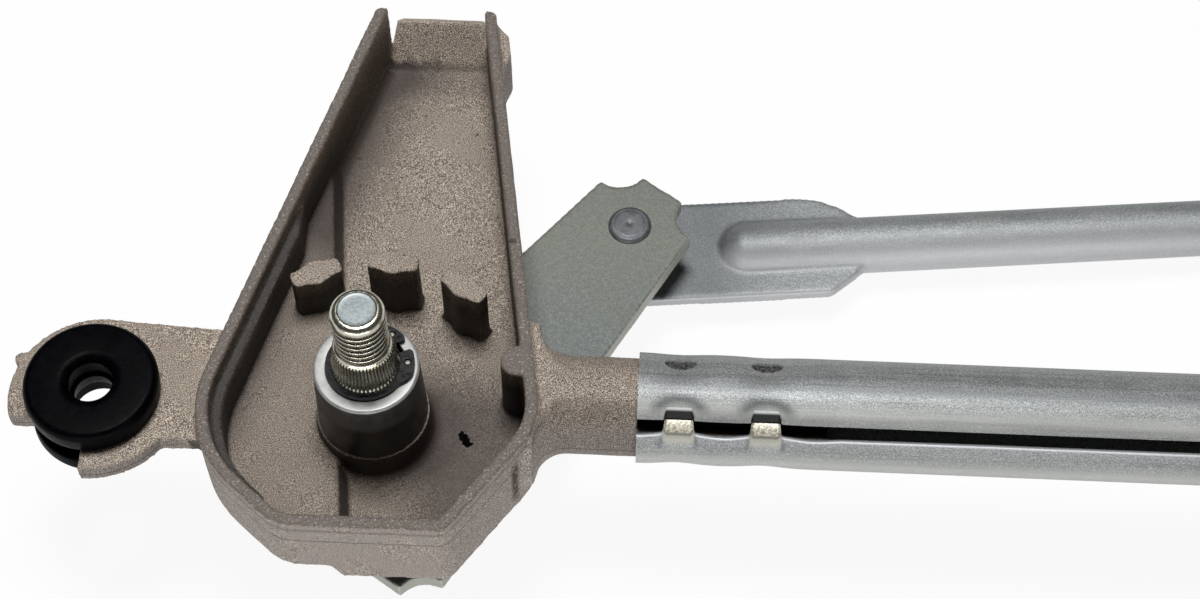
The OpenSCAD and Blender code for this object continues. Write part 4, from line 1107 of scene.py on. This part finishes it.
addSocket("tieLeftSocket", tieBall, "tie_link", "tie_left_socket")
addSocket("tieRightSocket", rightTieBall, "tie_link", "tie_right_socket")
addSocket("driveLeverSocket", driveBall, "drive_link", "drive_lever_socket")
addSocket("driveCrankSocket", crankSpot, "drive_link", "drive_crank_socket")


# Grommets

grommet = {"flangeR": 12.7, "coreR": 9.0, "flangeT": 4.5, "holeR": 3.65, "recessR": 4.7, "recessH": 4.0,
           "lift": 0.9, "flare": 0.8}


def addGrommet(name, node):
    # two rounded flanges on a core, each with a dished recess round the bolt hole, wider below
    g = grommet
    spot = boxCentre(node)
    low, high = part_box(node)
    halfH = (high.z - low.z) / mm / 2
    seat = halfH - g["flangeT"]
    upper = [
        (g["coreR"], seat, 0.2), (g["flangeR"] - 0.25, seat, 0.8), (g["flangeR"], halfH - 1.3, 0.8),
        (g["flangeR"] - 0.8, halfH - 0.1, 0.9), (g["recessR"] + 0.7, halfH, 1.0),
        (g["recessR"] - 0.6, halfH - 1.0, 0.7), (g["holeR"] + 0.7, halfH - g["recessH"], 0.5),
        (g["holeR"], halfH - g["recessH"] - 0.6, 0.3),
    ]
    lower = [(r + g["flare"] * (r < g["recessR"] + 1), -z, bend) for r, z, bend in upper[::-1]]
    loop = roundedPath(upper + lower, closed=True)
    loop[:, 1] += g["lift"] * np.clip((loop[:, 1] - seat - 1) / 2, 0, 1) + spot[2]
    piece = revolve(name, loop, spot, 112, closed=True)
    dress(piece, "frame", blackRubber, node, 45)


addGrommet("leftGrommet", "left_grommet")
addGrommet("rightGrommet", "right_grommet")
addGrommet("bracketGrommet", "bracket_grommet")
print("sockets and grommets done")


# CAD pieces that show as they are

kept = {"upper_bush": sinteredBronze, "lower_bush": sinteredBronze, "shaft_seal": blackRubber,
        "thrust_washer": plainSteel}
for side in ("left", "right"):
    for part, finish in kept.items():
        for materialSlot in nodes[side + "_" + part].material_slots:
            materialSlot.material = finish


# Floor, light and camera

stage = {
    "floorGap": 0.4, "floorSize": 12.0, "whiten": 0.93, "worldLevel": 0.03,
    "lamps": (("overheadBox", (0.0, 0.24, 1.25), (0.05, 0.0, 0.0), (0.42, 0.42), 16.0),
              ("frontStrip", (0.08, -1.0, -0.01), (0.08, 0.0, -0.02), (1.6, 0.07), 6.0)),
}


def addFloor():
    low = cadBox[0].z - stage["floorGap"] * mm
    reach = stage["floorSize"]
    corners = np.array([[x * reach, y * reach, low] for x, y in ((-1, -1), (1, -1), (1, 1), (-1, 1))])
    floor = addSurface("floor", corners / mm, np.array([[0, 1, 2, 3]]), welded=False)
    f = Finish("paleFloor")
    f.tree.nodes.remove(f.shader)
    path = f.add("ShaderNodeLightPath").socket.node.outputs
    seen = Signal(f, path["Is Camera Ray"]) + Signal(f, path["Is Glossy Ray"])
    seen = seen + Signal(f, path["Is Transmission Ray"])
    dull = f.add("ShaderNodeBsdfDiffuse", None, {"Color": (0.9, 0.9, 0.9, 1)})
    white = f.add("ShaderNodeEmission", None, {"Color": (1, 1, 1, 1), "Strength": 1.0})
    mixed = f.add("ShaderNodeMixShader", None, [f.span(seen, 0.0, 1.0, 0.0, stage["whiten"]), dull, white])
    f.tree.links.new(mixed.socket, f.tree.nodes["Material Output"].inputs["Surface"])
    floor.data.materials.append(f.material)


def addLamp(name, spot, aim, size, power):
    lamp = bpy.data.lights.new(name, "AREA")
    lamp.shape = "RECTANGLE"
    lamp.size, lamp.size_y = size
    lamp.energy = power
    holder = bpy.data.objects.new(name, lamp)
    holder.location = spot
    holder.rotation_euler = (Vector(aim) - Vector(spot)).to_track_quat("-Z", "Y").to_euler()
    holder.visible_camera = False
    bpy.context.scene.collection.objects.link(holder)


def addWorld():
    world = bpy.data.worlds.new("studio")
    world.use_nodes = True
    back = world.node_tree.nodes["Background"]
    back.inputs["Color"].default_value = (0.95, 0.97, 1.0, 1)
    back.inputs["Strength"].default_value = stage["worldLevel"]
    bpy.context.scene.world = world


cameraSize = {"spot": (0.052857, -0.217513, 0.381850), "elevation": 58.5, "azimuth": 2.6, "lens": 72.0,
              "sensor": 36.0}


def addCamera():
    c = cameraSize
    camera = bpy.data.cameras.new("photoView")
    camera.lens = c["lens"]
    camera.sensor_width = c["sensor"]
    camera.sensor_fit = "HORIZONTAL"
    camera.clip_start = 0.02
    camera.clip_end = 60
    holder = bpy.data.objects.new("photoView", camera)
    up, turn = math.radians(c["elevation"]), math.radians(c["azimuth"])
    back = Vector((math.sin(turn) * math.cos(up), -math.cos(turn) * math.cos(up), math.sin(up)))
    holder.location = c["spot"]
    holder.rotation_euler = back.to_track_quat("Z", "Y").to_euler()
    bpy.context.scene.collection.objects.link(holder)
    bpy.context.scene.camera = holder


addFloor()
addWorld()
for lamp in stage["lamps"]:
    addLamp(*lamp)
addCamera()
bpy.context.scene.view_settings.view_transform = "Standard"
print("stage set")
